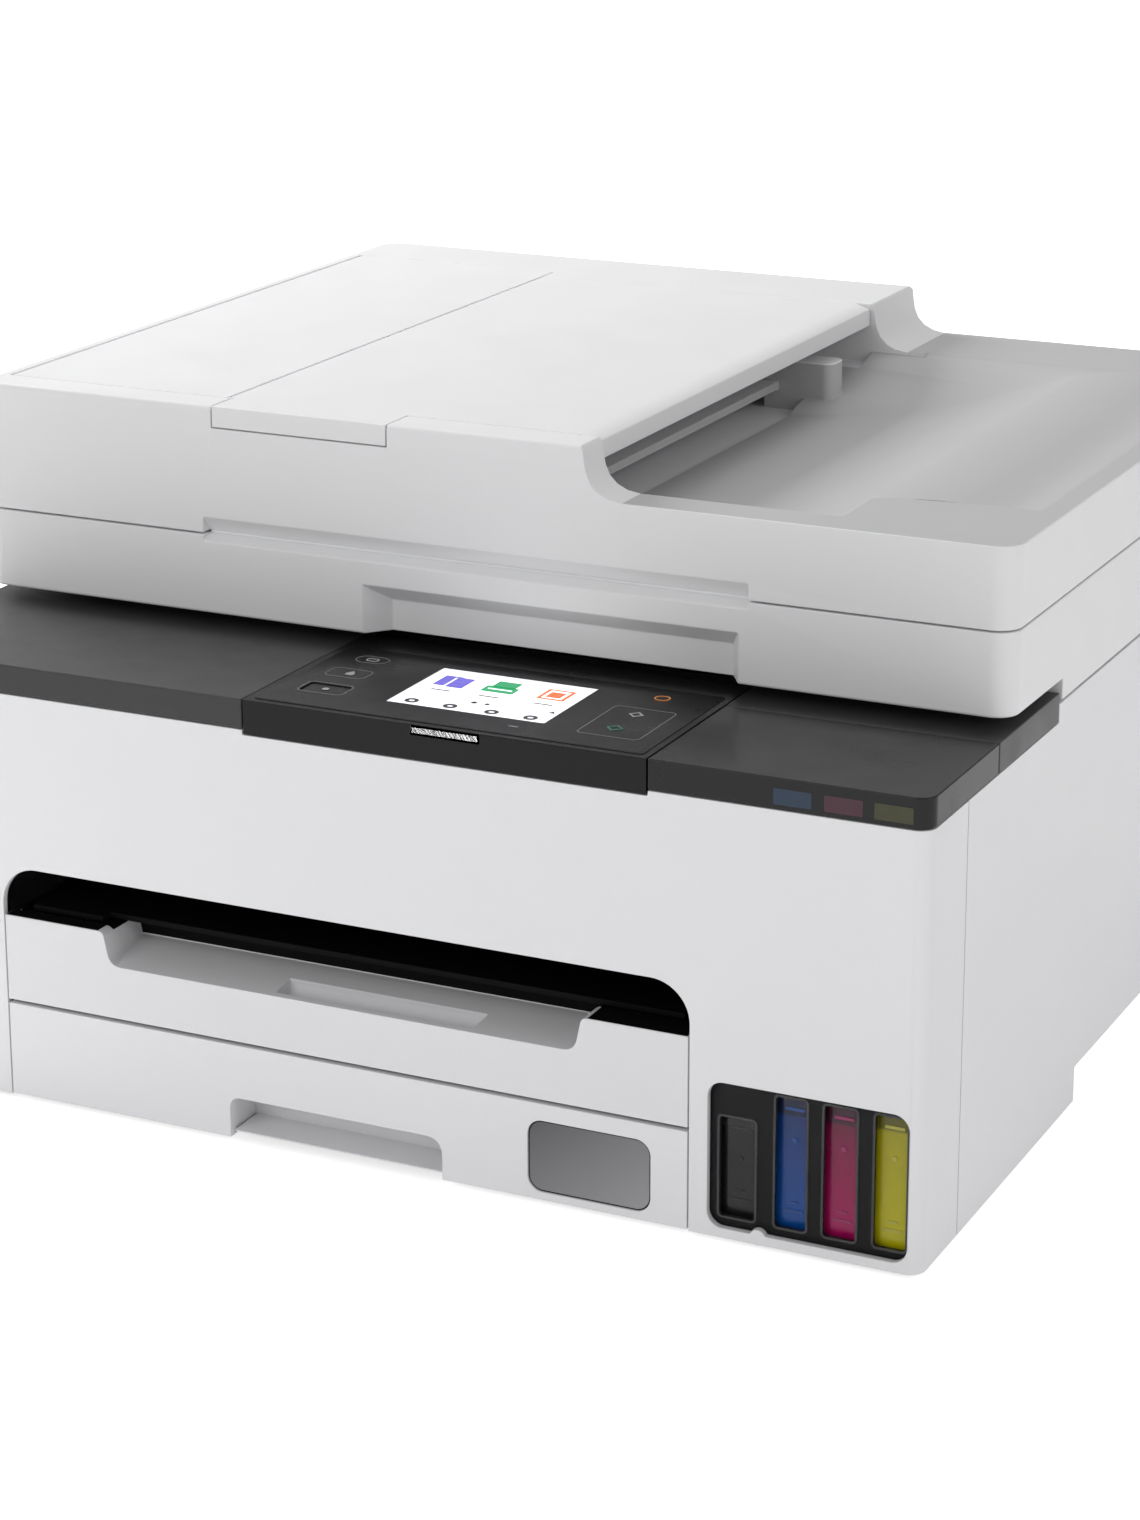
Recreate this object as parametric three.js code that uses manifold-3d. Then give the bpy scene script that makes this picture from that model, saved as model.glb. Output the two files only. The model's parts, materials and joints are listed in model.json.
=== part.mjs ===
// Flatbed inkjet printer with refillable ink tanks, a front cassette and a document feeder.
// Millimetres, +Z up, front towards -Y, X to the right as seen from the front.
import * as THREE from 'three';
import Module from 'manifold-3d';
import { mergeVertices } from 'three/addons/utils/BufferGeometryUtils.js';

const wasm = await Module();
wasm.setup();

// ---- overall envelope ----
const LEFT_SIDE = -187;
const RIGHT_SIDE = 182.5;
const FRONT = -190;
const BACK = 190;
const UNDERSIDE = 2;
const WALL = 2.5;
const GAP = 0.4;
const CORNER_RADIUS = 8;
// X is measured from one datum; every piece is moved by this much so that the whole is centred.
const CENTRING = -(LEFT_SIDE + RIGHT_SIDE) / 2;

// ---- body shell ----
const FRONT_TOP = 141.5;
const SIDE_TOP = 147.6;
const BODY_RADIUS = 5.5;
const STRIP_TOP = 151.5;
const STRIP_BACK = -102;
const TAIL_BACK = -75;
const TAIL_WIDTH = 9;
const FRONT_SEAM = -158;
const REAR_SEAM = 181;
const FLOOR_TOP = 4;

// ---- front openings ----
const TRAY_LEFT = -138;
const TRAY_RIGHT = 107.4;
const SLOT_TOP = 82.5;
const SLOT_RADIUS = 13;
const INK_WINDOW = { left: 113.6, right: 178.1, bottom: 5.3, top: 52.7, radius: 5 };
const INK_WINDOW_CATCH = { x: 130.2, z: 4.4, radius: 2.6 };

// ---- cassette ----
const CASSETTE_TOP = 34.7;
const CASSETTE_BACK = 132;
const CASSETTE_FACE_BACK = -171.5;
const CASSETTE_FLOOR = 4.6;
const GRIP = { left: -53.8, right: 23, top: 16.4, depth: 16 };
const LEVEL_WINDOW = { left: 53, right: 94.7, bottom: 5.2, top: 29, radius: 5 };
const PAPER_CENTRE = -15;
const PAPER_HALF_WIDTH = 105;

// ---- output tray ----
const TRAY_PANEL_BOTTOM = 36;
const TRAY_PANEL_TOP = 65.6;
const TRAY_FLOOR_TOP = 64.5;
const TRAY_FLOOR_THICKNESS = 2.5;
const TRAY_FACE_BACK = -184;
const TRAY_SLOPE_BACK = -168;
const TRAY_BACK = -66;
const NOTCH = { left: -100, right: 71.4, bottom: 54.2, back: 57.8, lean: 2.4, radius: 4 };
const PULL_DIP = { left: -37, right: 36, bottom: 45.5, back: -178.6 };
const EXTENSION = { left: -131, right: 101, front: -178.6, back: -72, bottom: 65.9, thickness: 2 };

// ---- upper units ----
const UPPER_FRONT = -121.3;
const SCANNER_BACK = 176;
const SCANNER_BOTTOM = 155.3;
const SCANNER_TOP = 182.2;
const LID_BACK = 172;
const LID_BOTTOM = 182.8;
const LID_TOP = 226;
const LID_LOW = 209;
const GLASS = { left: -150, right: 152, front: -95, back: 125 };

// ---- operation panel ----
const PANEL_LEFT = -45.1;
const PANEL_RIGHT = 92.9;
const PANEL_BOTTOM = 140.3;
const SCREEN = { left: -4, right: 51, front: -172.8, back: -133 };
const POWER_KEY = { left: -34, right: -20, front: -173.5, back: -165 };
const LIGHT_BAR = { left: 14.3, right: 37.1, bottom: 148.6, top: 150.8 };

// ---- document feeder ----
const FEEDER_RIGHT = -97.2;
const FEEDER_LEFT = -181.5;
const FEEDER_FRONT = -107.6;
const FEEDER_BACK = 139.6;
const PLATE_THICKNESS = 3.5;
const DOC_TRAY_FRONT = -106;
const DOC_TRAY_BACK = 131;
const DOC_TRAY_RIGHT = 38;
const TAB = { left: -95, right: -30.5, bottom: 219 };
const FEED_PLATE_TOP = 204;
const BASIN_RIGHT = 175.5;
const BASIN_FRONT = -106.4;
const BASIN_BACK = 137;

// ---- ink tanks ----
const TANK_CENTRES = { black: 122, cyan: 139.5, magenta: 155.5, yellow: 171.8 };
const TANK_WIDTH = 14;
const TANK_FRONT = -184.5;
const TANK_BACK = -130.5;
const TANK_TOP = 108;
const FILLER_Y = -166;
const CAP_HINGE_Y = -152;

// ---- printing mechanism ----
const RAIL_LEFT = -155.1;
const RAIL_RIGHT = 151.6;
const PULLEY_Z = 118;
const PULLEY_RADIUS = 6;
const ROLLER_LEFT = -128;
const ROLLER_RIGHT = 98;
const FEED_ROLLER = { y: 34, z: 80, radius: 6 };
const EXIT_ROLLER = { y: -53, z: 80, radius: 5 };
const SHAFT_RADIUS = 2.5;

// ---- finishes ----
const FINISHES = {
  shell: { color: 0xe6e6e8, roughness: 0.45, metalness: 0 },
  tray: { color: 0xdcdcdf, roughness: 0.5, metalness: 0 },
  dark: { color: 0x2b2b2d, roughness: 0.35, metalness: 0 },
  smoke: { color: 0x303033, roughness: 0.15, metalness: 0 },
  window: { color: 0x77787c, roughness: 0.15, metalness: 0 },
  frame: { color: 0x3a3c40, roughness: 0.6, metalness: 0 },
  steel: { color: 0xb9bcc1, roughness: 0.35, metalness: 1 },
  rubber: { color: 0x202122, roughness: 0.85, metalness: 0 },
  board: { color: 0x1f5b3a, roughness: 0.55, metalness: 0 },
  screen: { color: 0xf2f3f7, roughness: 0.2, metalness: 0 },
  light: { color: 0xffffff, roughness: 0.3, metalness: 0 },
  glass: { color: 0xcfdad9, roughness: 0.05, metalness: 0 },
  black: { color: 0x151517, roughness: 0.3, metalness: 0 },
  cyan: { color: 0x0b4f9c, roughness: 0.3, metalness: 0 },
  magenta: { color: 0x9c1355, roughness: 0.3, metalness: 0 },
  yellow: { color: 0xb9a713, roughness: 0.3, metalness: 0 },
};

// ---- solid helpers ----
function solidOf(geometry) {
  geometry.deleteAttribute('normal');
  geometry.deleteAttribute('uv');
  const merged = mergeVertices(geometry, 1e-4);
  const mesh = new wasm.Mesh({
    numProp: 3,
    vertProperties: new Float32Array(merged.attributes.position.array),
    triVerts: new Uint32Array(merged.index.array),
  });
  return new wasm.Manifold(mesh);
}

function box(x0, x1, y0, y1, z0, z1) {
  const geometry = new THREE.BoxGeometry(Math.abs(x1 - x0), y1 - y0, z1 - z0);
  geometry.translate((x0 + x1) / 2, (y0 + y1) / 2, (z0 + z1) / 2);
  return solidOf(geometry);
}

function outline(points) {
  return new THREE.Shape(points.map(([u, v]) => new THREE.Vector2(u, v)));
}

// Rounded rectangle; radii in the order low-left, low-right, high-right, high-left.
function roundedRect(u0, u1, v0, v1, radii) {
  const [a, b, c, d] = radii;
  const shape = new THREE.Shape();
  const quarter = Math.PI / 2;
  shape.moveTo(u0 + a, v0);
  shape.lineTo(u1 - b, v0);
  if (b > 0) shape.absarc(u1 - b, v0 + b, b, -quarter, 0, false);
  shape.lineTo(u1, v1 - c);
  if (c > 0) shape.absarc(u1 - c, v1 - c, c, 0, quarter, false);
  shape.lineTo(u0 + d, v1);
  if (d > 0) shape.absarc(u0 + d, v1 - d, d, quarter, 2 * quarter, false);
  shape.lineTo(u0, v0 + a);
  if (a > 0) shape.absarc(u0 + a, v0 + a, a, 2 * quarter, 3 * quarter, false);
  return shape;
}

function extruded(shape, depth) {
  return new THREE.ExtrudeGeometry(shape, { depth, bevelEnabled: false, curveSegments: 6 });
}

// Outline in X and Y, raised from z0 to z1.
function alongZ(shape, z0, z1) {
  const geometry = extruded(shape, z1 - z0);
  geometry.translate(0, 0, z0);
  return solidOf(geometry);
}

// Outline in X and Z, running from y0 to y1.
function alongY(shape, y0, y1) {
  const geometry = extruded(shape, y1 - y0);
  geometry.rotateX(Math.PI / 2);
  geometry.translate(0, y1, 0);
  return solidOf(geometry);
}

// Outline in Y and Z, running from x0 to x1.
function alongX(shape, x0, x1) {
  const geometry = extruded(shape, x1 - x0);
  const turn = new THREE.Matrix4().makeBasis(
    new THREE.Vector3(0, 1, 0),
    new THREE.Vector3(0, 0, 1),
    new THREE.Vector3(1, 0, 0),
  );
  geometry.applyMatrix4(turn);
  geometry.translate(x0, 0, 0);
  return solidOf(geometry);
}

function rod(axis, radius, from, to, a, b, sides = 20) {
  const geometry = new THREE.CylinderGeometry(radius, radius, to - from, sides);
  const middle = (from + to) / 2;
  if (axis === 'x') {
    geometry.rotateZ(Math.PI / 2);
    geometry.translate(middle, a, b);
  } else if (axis === 'y') {
    geometry.translate(a, middle, b);
  } else {
    geometry.rotateX(Math.PI / 2);
    geometry.translate(a, b, middle);
  }
  return solidOf(geometry);
}

// Block whose X and Z size changes from its front face to its back face.
function taperedAlongY(front, back, y0, y1) {
  const geometry = new THREE.BoxGeometry(1, 1, 1);
  const points = geometry.attributes.position;
  for (let i = 0; i < points.count; i += 1) {
    const end = points.getY(i) < 0 ? front : back;
    const x = points.getX(i) < 0 ? end.left : end.right;
    const z = points.getZ(i) < 0 ? end.bottom : end.top;
    points.setXYZ(i, x, points.getY(i) < 0 ? y0 : y1, z);
  }
  return solidOf(geometry);
}

// Closed outline whose corners are rounded, each with its own radius: [u, v, radius].
function filleted(corners) {
  const shape = new THREE.Shape();
  const count = corners.length;
  const towards = (from, to, distance) => {
    const start = new THREE.Vector2(from[0], from[1]);
    const end = new THREE.Vector2(to[0], to[1]);
    return end.sub(start).setLength(distance).add(start);
  };
  corners.forEach((corner, i) => {
    const before = towards(corner, corners[(i + count - 1) % count], corner[2]);
    const after = towards(corner, corners[(i + 1) % count], corner[2]);
    if (i === 0) shape.moveTo(before.x, before.y);
    else shape.lineTo(before.x, before.y);
    if (corner[2] > 0) shape.quadraticCurveTo(corner[0], corner[1], after.x, after.y);
  });
  shape.closePath();
  return shape;
}

function joined(solids) {
  return solids.reduce((sum, solid) => sum.add(solid));
}

function windowHole(area, y0, y1, grow) {
  const radius = area.radius + grow;
  const shape = roundedRect(
    area.left - grow,
    area.right + grow,
    area.bottom - grow,
    area.top + grow,
    [radius, radius, radius, radius],
  );
  return alongY(shape, y0, y1);
}

const printer = new THREE.Group();
printer.name = 'inkjet_printer';

function unit(name) {
  const group = new THREE.Group();
  group.name = name;
  printer.add(group);
  return group;
}

function place(group, name, finish, solid, position = [0, 0, 0]) {
  const data = solid.getMesh();
  const geometry = new THREE.BufferGeometry();
  geometry.setAttribute('position', new THREE.BufferAttribute(data.vertProperties, 3));
  geometry.setIndex(new THREE.BufferAttribute(data.triVerts, 1));
  geometry.computeVertexNormals();
  const mesh = new THREE.Mesh(geometry, new THREE.MeshStandardMaterial(FINISHES[finish]));
  mesh.name = name;
  const [x, y, z] = position;
  mesh.position.set(x + CENTRING, y, z);
  group.add(mesh);
  return mesh;
}

// ---- body shell ----
const BAY_LEFT_WALL = TRAY_LEFT - 3.2;
const BAY_RIGHT_WALL = TRAY_RIGHT + 1.2;
const BAY_WALL = 2;
const BAY_WALL_TOP = 62;
const MID_PLATE_TOP = 65;
const END_PLATES = [-158, 152];
const POST_INNER = 1.6;
const HOOD_Y = -65;
const HOOD_BOTTOM = 90;
const HOOD_TOP = 128;

function bearingPost(x, roller) {
  const half = 6;
  const post = box(x, x + 3, roller.y - half, roller.y + half, MID_PLATE_TOP - 1, roller.z + half);
  return post.subtract(rod('x', SHAFT_RADIUS + 0.3, x - 1, x + 4, roller.y, roller.z));
}

function baseFrame() {
  const floor = alongZ(
    roundedRect(LEFT_SIDE + 3, RIGHT_SIDE - 3, -187, 184, [6, 6, 6, 6]),
    UNDERSIDE,
    FLOOR_TOP,
  );
  const bayFront = box(TRAY_LEFT - GAP, TRAY_RIGHT + GAP, -190, -170.6, 0, 10);
  const grips = [-1, 1].map((side) => box(sideAt(side, 25), sideAt(side, -3), -48, 88, 0, 10));
  const bayWallRight = BAY_RIGHT_WALL + BAY_WALL;
  const walls = [
    box(BAY_LEFT_WALL, BAY_LEFT_WALL + BAY_WALL, -186.6, 142, FLOOR_TOP - 1, BAY_WALL_TOP),
    box(BAY_RIGHT_WALL, bayWallRight, -186.6, 142, FLOOR_TOP - 1, BAY_WALL_TOP),
    box(BAY_LEFT_WALL, bayWallRight, -60, 70, BAY_WALL_TOP - 1, MID_PLATE_TOP),
  ];
  const turnGuide = alongX(
    outline([[142, 3], [142, 62], [134, 72], [132.5, 70.5], [139.6, 61], [139.6, 3]]),
    BAY_LEFT_WALL,
    bayWallRight,
  );
  const plates = END_PLATES.map((x) => box(x, x + WALL, HOOD_Y, 50, FLOOR_TOP - 1, HOOD_TOP));
  const hood = box(END_PLATES[0], END_PLATES[1] + WALL, HOOD_Y, HOOD_Y + 2, HOOD_BOTTOM, HOOD_TOP);
  const posts = [FEED_ROLLER, EXIT_ROLLER].flatMap((roller) => [
    bearingPost(ROLLER_LEFT - POST_INNER - 3, roller),
    bearingPost(ROLLER_RIGHT + POST_INNER, roller),
  ]);
  let frame = floor.subtract(bayFront);
  for (const grip of grips) frame = frame.subtract(grip);
  return joined([frame, ...walls, turnGuide, ...plates, hood, ...posts]);
}

// The front or back wall of the body with the two corners that it wraps round, up to the side seams.
function wrappedWall(top, isFront) {
  const radius = (value) => (isFront ? [value, value, 0, 0] : [0, 0, value, value]);
  const depth = (inset) => (isFront ? [FRONT + inset, 0] : [0, BACK - inset]);
  const outer = roundedRect(LEFT_SIDE, RIGHT_SIDE, ...depth(0), radius(BODY_RADIUS));
  const inner = roundedRect(LEFT_SIDE + WALL, RIGHT_SIDE - WALL, ...depth(WALL), radius(BODY_RADIUS - WALL));
  const shell = alongZ(outer, UNDERSIDE, top).subtract(alongZ(inner, UNDERSIDE - 1, top + 1));
  const [y0, y1] = isFront ? [FRONT - 5, FRONT_SEAM] : [REAR_SEAM, BACK + 5];
  return shell.intersect(box(-200, 200, y0, y1, 0, 200));
}

function windowCatch(grow) {
  const { x, z, radius } = INK_WINDOW_CATCH;
  return rod('y', radius + grow, FRONT, FRONT + WALL, x, z, 24);
}

function frontHousing() {
  const slot = alongY(
    roundedRect(TRAY_LEFT, TRAY_RIGHT, -10, SLOT_TOP, [0, 0, SLOT_RADIUS, SLOT_RADIUS]),
    FRONT - 1,
    FRONT + 5,
  );
  const panelLow = PANEL_BOTTOM - GAP;
  const panelStep = box(PANEL_LEFT - GAP, PANEL_RIGHT + GAP, FRONT - 1, FRONT + 5, panelLow, 160);
  return wrappedWall(FRONT_TOP, true)
    .subtract(slot)
    .subtract(panelStep)
    .subtract(windowHole(INK_WINDOW, FRONT - 1, FRONT + 5, 0))
    .add(windowCatch(0));
}

const REAR_COVER = { left: -110, right: 100, bottom: 60.6, top: 129.4 };
const POWER_SOCKET = { left: -172, right: -146, bottom: 26, top: 46 };
const LAN_SOCKET = { left: 124, right: 141, bottom: 84, top: 99 };
const USB_SOCKET = { left: 148, right: 162, bottom: 84, top: 97 };

function socketHole(area) {
  return box(area.left - GAP, area.right + GAP, BACK - 9, BACK + 1, area.bottom - GAP, area.top + GAP);
}

function rearHousing() {
  const clearance = 0.6;
  const coverHole = box(
    REAR_COVER.left - clearance,
    REAR_COVER.right + clearance,
    BACK - 5,
    BACK + 1,
    REAR_COVER.bottom - clearance,
    REAR_COVER.top + clearance,
  );
  return wrappedWall(SIDE_TOP, false)
    .subtract(coverHole)
    .subtract(socketHole(POWER_SOCKET))
    .subtract(socketHole(LAN_SOCKET))
    .subtract(socketHole(USB_SOCKET));
}

function rearCover() {
  const plate = box(REAR_COVER.left, REAR_COVER.right, BACK - WALL, BACK, REAR_COVER.bottom, REAR_COVER.top);
  const fingerDip = box(-20, 20, BACK - 1, BACK + 1, REAR_COVER.top - 10, REAR_COVER.top - 3);
  return plate.subtract(fingerDip);
}

// The block behind a socket hole, with a plug cavity open to the back.
function socket(area, margin, depth) {
  const block = box(area.left, area.right, BACK - depth - 3, BACK - 0.5, area.bottom, area.top);
  const cavity = box(
    area.left + margin,
    area.right - margin,
    BACK - depth,
    BACK + 1,
    area.bottom + margin,
    area.top - margin,
  );
  return block.subtract(cavity);
}

const SIDE_GRIP = { front: -45, back: 85, top: 14, depth: 21 };

// Distance along X of a plane set in from one side; side is -1 for the left, 1 for the right.
function sideAt(side, inset = 0) {
  return (side < 0 ? LEFT_SIDE : RIGHT_SIDE) - side * inset;
}

function sideCover(side) {
  const { front, back, top, depth } = SIDE_GRIP;
  const outer = sideAt(side);
  const past = sideAt(side, -2);
  const plate = box(sideAt(side, WALL), outer, FRONT_SEAM + GAP, REAR_SEAM - GAP, UNDERSIDE, SIDE_TOP);
  const gripWall = box(sideAt(side, depth), outer, front - 2, back + 2, UNDERSIDE, top + 2);
  const stripRoom = box(sideAt(side, 20), past, -200, TAIL_BACK + GAP, FRONT_TOP, SIDE_TOP + 1);
  const grip = box(sideAt(side, depth - 2), past, front, back, 0, top);
  return joined([plate, gripWall]).subtract(stripRoom).subtract(grip);
}

const SHELF_TOP = 136;
const DECK_TOP = SIDE_TOP;
const DECK_WALL_Y = -100;

function deck() {
  const x0 = LEFT_SIDE + WALL + GAP;
  const x1 = RIGHT_SIDE - WALL - GAP;
  const shelfPlan = roundedRect(x0, x1, -187, DECK_WALL_Y + 2, [4, 4, 0, 0]);
  const shelf = alongZ(shelfPlan, SHELF_TOP - 3, SHELF_TOP);
  const wall = box(x0, x1, DECK_WALL_Y, DECK_WALL_Y + 2, SHELF_TOP - 3, DECK_TOP);
  const plate = alongZ(roundedRect(x0, x1, DECK_WALL_Y, 187, [0, 0, 4, 4]), DECK_TOP - 3, DECK_TOP);
  const access = alongZ(roundedRect(-150, 150, -92, 110, [8, 8, 8, 8]), 140, 160);
  const inkAccess = box(113, 178.4, -184, -147, 120, 140);
  let solid = joined([shelf, wall, plate]).subtract(access).subtract(inkAccess);
  for (const side of [-1, 1]) {
    const inner = sideAt(side, TAIL_WIDTH + GAP);
    solid = solid.subtract(box(inner, side * 200, STRIP_BACK - 6, TAIL_BACK + GAP, 138, 160));
  }
  return solid;
}

// A shallow upturned lid with side skirts, used for the dark strip pieces.
function stripShell(x0, x1, y0, y1, z0, radii) {
  const outer = alongZ(roundedRect(x0, x1, y0, y1, radii), z0, STRIP_TOP);
  const innerRadii = radii.map((radius) => Math.max(0, radius - WALL));
  const inner = alongZ(
    roundedRect(x0 + WALL, x1 - WALL, y0 + WALL, y1 - WALL, innerRadii),
    z0 - 1,
    STRIP_TOP - WALL,
  );
  return outer.subtract(inner);
}

const STRIP_BOTTOM = FRONT_TOP + 0.3;
const INK_COVER_BACK = -131.8;

// The narrow dark tail of a strip piece, running back along one side of the body.
function stripTail(side) {
  return box(sideAt(side, TAIL_WIDTH), sideAt(side), STRIP_BACK - WALL, TAIL_BACK, STRIP_BOTTOM, STRIP_TOP);
}

function buildBody() {
  const body = unit('body');
  place(body, 'base_frame', 'frame', baseFrame());
  place(body, 'front_housing', 'shell', frontHousing());
  place(body, 'side_cover_left', 'shell', sideCover(-1));
  place(body, 'side_cover_right', 'shell', sideCover(1));
  place(body, 'rear_housing', 'shell', rearHousing());
  place(body, 'rear_cover', 'shell', rearCover());
  place(body, 'power_inlet', 'dark', socket(POWER_SOCKET, 3, 16));
  place(body, 'lan_port', 'dark', socket(LAN_SOCKET, 2.5, 12));
  place(body, 'usb_port', 'steel', socket(USB_SOCKET, 2.5, 12));
  place(body, 'deck', 'frame', deck());
  const strip = (x0, x1, y0, y1, radii) => stripShell(x0, x1, y0, y1, STRIP_BOTTOM, radii);
  const stripRight = PANEL_RIGHT + GAP;
  const leftStrip = strip(LEFT_SIDE, PANEL_LEFT - GAP, FRONT, STRIP_BACK, [BODY_RADIUS, 0, 0, 0]);
  const inkCover = strip(stripRight, RIGHT_SIDE, FRONT, INK_COVER_BACK, [0, BODY_RADIUS, 0, 0]);
  const sideStrip = strip(stripRight, RIGHT_SIDE, INK_COVER_BACK + 0.5, STRIP_BACK, [0, 0, 0, 0]);
  place(body, 'left_deck_cover', 'dark', leftStrip.add(stripTail(-1)));
  place(body, 'ink_cover', 'smoke', inkCover);
  place(body, 'side_strip_right', 'dark', sideStrip.add(stripTail(1)));
  const footSpots = { foot_front_left: [-158, -160], foot_front_right: [158, -160] };
  footSpots.foot_rear_left = [-150, 160];
  footSpots.foot_rear_right = [150, 160];
  const foot = rod('z', 9, 0, UNDERSIDE - 0.2, 0, 0, 24);
  for (const [name, [x, y]] of Object.entries(footSpots)) {
    place(body, name, 'rubber', foot, [x, y, 0]);
  }
}

// ---- operation panel ----
function operationPanel() {
  const back = -122.4;
  const shell = stripShell(PANEL_LEFT, PANEL_RIGHT, FRONT, back, PANEL_BOTTOM, [0, 0, 0, 0]);
  const tongue = box(PANEL_LEFT, PANEL_RIGHT, back - 1, back + 12.4, STRIP_TOP - WALL, STRIP_TOP);
  const screenSeat = box(
    SCREEN.left - 0.3,
    SCREEN.right + 0.3,
    SCREEN.front - 0.3,
    SCREEN.back + 0.3,
    STRIP_TOP - 1.3,
    STRIP_TOP + 1,
  );
  const keyHole = box(
    POWER_KEY.left - 0.3,
    POWER_KEY.right + 0.3,
    POWER_KEY.front - 0.3,
    POWER_KEY.back + 0.3,
    STRIP_TOP - 4,
    STRIP_TOP + 1,
  );
  const lightSeat = box(
    LIGHT_BAR.left - 0.3,
    LIGHT_BAR.right + 0.3,
    FRONT - 1,
    FRONT + 1.5,
    LIGHT_BAR.bottom - 0.3,
    LIGHT_BAR.top + 0.3,
  );
  return shell.add(tongue).subtract(screenSeat).subtract(keyHole).subtract(lightSeat);
}

function buildPanel() {
  const panel = unit('panel');
  const keyTop = STRIP_TOP - 0.1;
  place(panel, 'operation_panel', 'dark', operationPanel());
  const screen = box(SCREEN.left, SCREEN.right, SCREEN.front, SCREEN.back, STRIP_TOP - 1, STRIP_TOP);
  place(panel, 'touch_screen', 'screen', screen);
  const light = box(LIGHT_BAR.left, LIGHT_BAR.right, FRONT, FRONT + 1.2, LIGHT_BAR.bottom, LIGHT_BAR.top);
  place(panel, 'status_light_bar', 'light', light);
  const key = box(POWER_KEY.left, POWER_KEY.right, POWER_KEY.front, POWER_KEY.back, keyTop - 3.4, keyTop);
  place(panel, 'power_button', 'dark', key);
}

// ---- ink system ----
function inkTank() {
  const half = TANK_WIDTH / 2;
  const wall = 1.3;
  const body = box(-half, half, TANK_FRONT, TANK_BACK, FLOOR_TOP + GAP, TANK_TOP);
  const neck = rod('z', 5, TANK_TOP - 1, TANK_TOP + 6, 0, FILLER_Y);
  const cavity = box(-half + wall, half - wall, TANK_FRONT + wall, TANK_BACK - wall, 6.5, TANK_TOP - wall);
  const bore = rod('z', 3.2, TANK_TOP - 4, TANK_TOP + 8, 0, FILLER_Y);
  const hingePost = box(-3, 3, CAP_HINGE_Y - 1.5, CAP_HINGE_Y + 2, TANK_TOP - 0.5, TANK_TOP + 5);
  return joined([body, neck, hingePost]).subtract(cavity).subtract(bore);
}

function tankCap() {
  const seat = TANK_TOP + 6.4;
  const flap = alongZ(roundedRect(-6, 6, FILLER_Y - 9, CAP_HINGE_Y + 1.6, [4, 4, 1, 1]), seat, seat + 3.4);
  const plug = rod('z', 2.2, seat - 1.4, seat + 1, 0, FILLER_Y);
  return flap.add(plug);
}

function buildInkSystem() {
  const ink = unit('ink_system');
  for (const [colour, x] of Object.entries(TANK_CENTRES)) {
    place(ink, `ink_tank_${colour}`, colour, inkTank(), [x, 0, 0]);
    place(ink, `tank_cap_${colour}`, colour, tankCap(), [x, 0, 0]);
  }
  const pane = windowHole(INK_WINDOW, FRONT + 0.4, FRONT + 2, -GAP).subtract(windowCatch(GAP));
  place(ink, 'ink_window', 'smoke', pane);
}

// ---- cassette ----
function cassetteTray() {
  const x0 = TRAY_LEFT + 1.5;
  const x1 = TRAY_RIGHT - 1.4;
  const outer = box(x0, x1, CASSETTE_FACE_BACK + GAP, CASSETTE_BACK, CASSETTE_FLOOR, CASSETTE_TOP - 0.7);
  const inner = box(
    x0 + 2,
    x1 - 2,
    CASSETTE_FACE_BACK + GAP + 1.5,
    CASSETTE_BACK - 1.5,
    CASSETTE_FLOOR + 1.8,
    CASSETTE_TOP + 5,
  );
  return outer.subtract(inner);
}

function cassetteFront() {
  const x0 = TRAY_LEFT + GAP;
  const x1 = TRAY_RIGHT - GAP;
  const bottom = 2.4;
  const face = box(x0, x1, FRONT, FRONT + WALL + 0.5, bottom, CASSETTE_TOP);
  const cheeks = [x0, x1 - 2].map((x) => box(x, x + 2, FRONT, CASSETTE_FACE_BACK, bottom, CASSETTE_TOP));
  const gripBlock = box(GRIP.left - 2, GRIP.right + 2, FRONT, FRONT + GRIP.depth + 2, bottom, GRIP.top + 2);
  const gripRoom = alongY(
    filleted([
      [GRIP.left, 0, 0],
      [GRIP.right, 0, 0],
      [GRIP.right, GRIP.top, 6],
      [GRIP.left, GRIP.top, 4],
    ]),
    FRONT - 1,
    FRONT + GRIP.depth,
  );
  return joined([face, ...cheeks, gripBlock])
    .subtract(gripRoom)
    .subtract(windowHole(LEVEL_WINDOW, FRONT - 1, FRONT + 5, 0));
}

const GUIDE_FLOOR = CASSETTE_FLOOR + 2.2;

// Upright paper guide on a flat foot; side is -1 for the left one, 1 for the right one.
function paperGuide(side) {
  const face = side * (PAPER_HALF_WIDTH + 0.6);
  const upright = box(face, face + side * 2, -70, -10, GUIDE_FLOOR, CASSETTE_TOP - 3);
  const foot = box(face - side * 18, face + side * 6, -52, -28, GUIDE_FLOOR, GUIDE_FLOOR + 1.2);
  return upright.add(foot);
}

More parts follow.
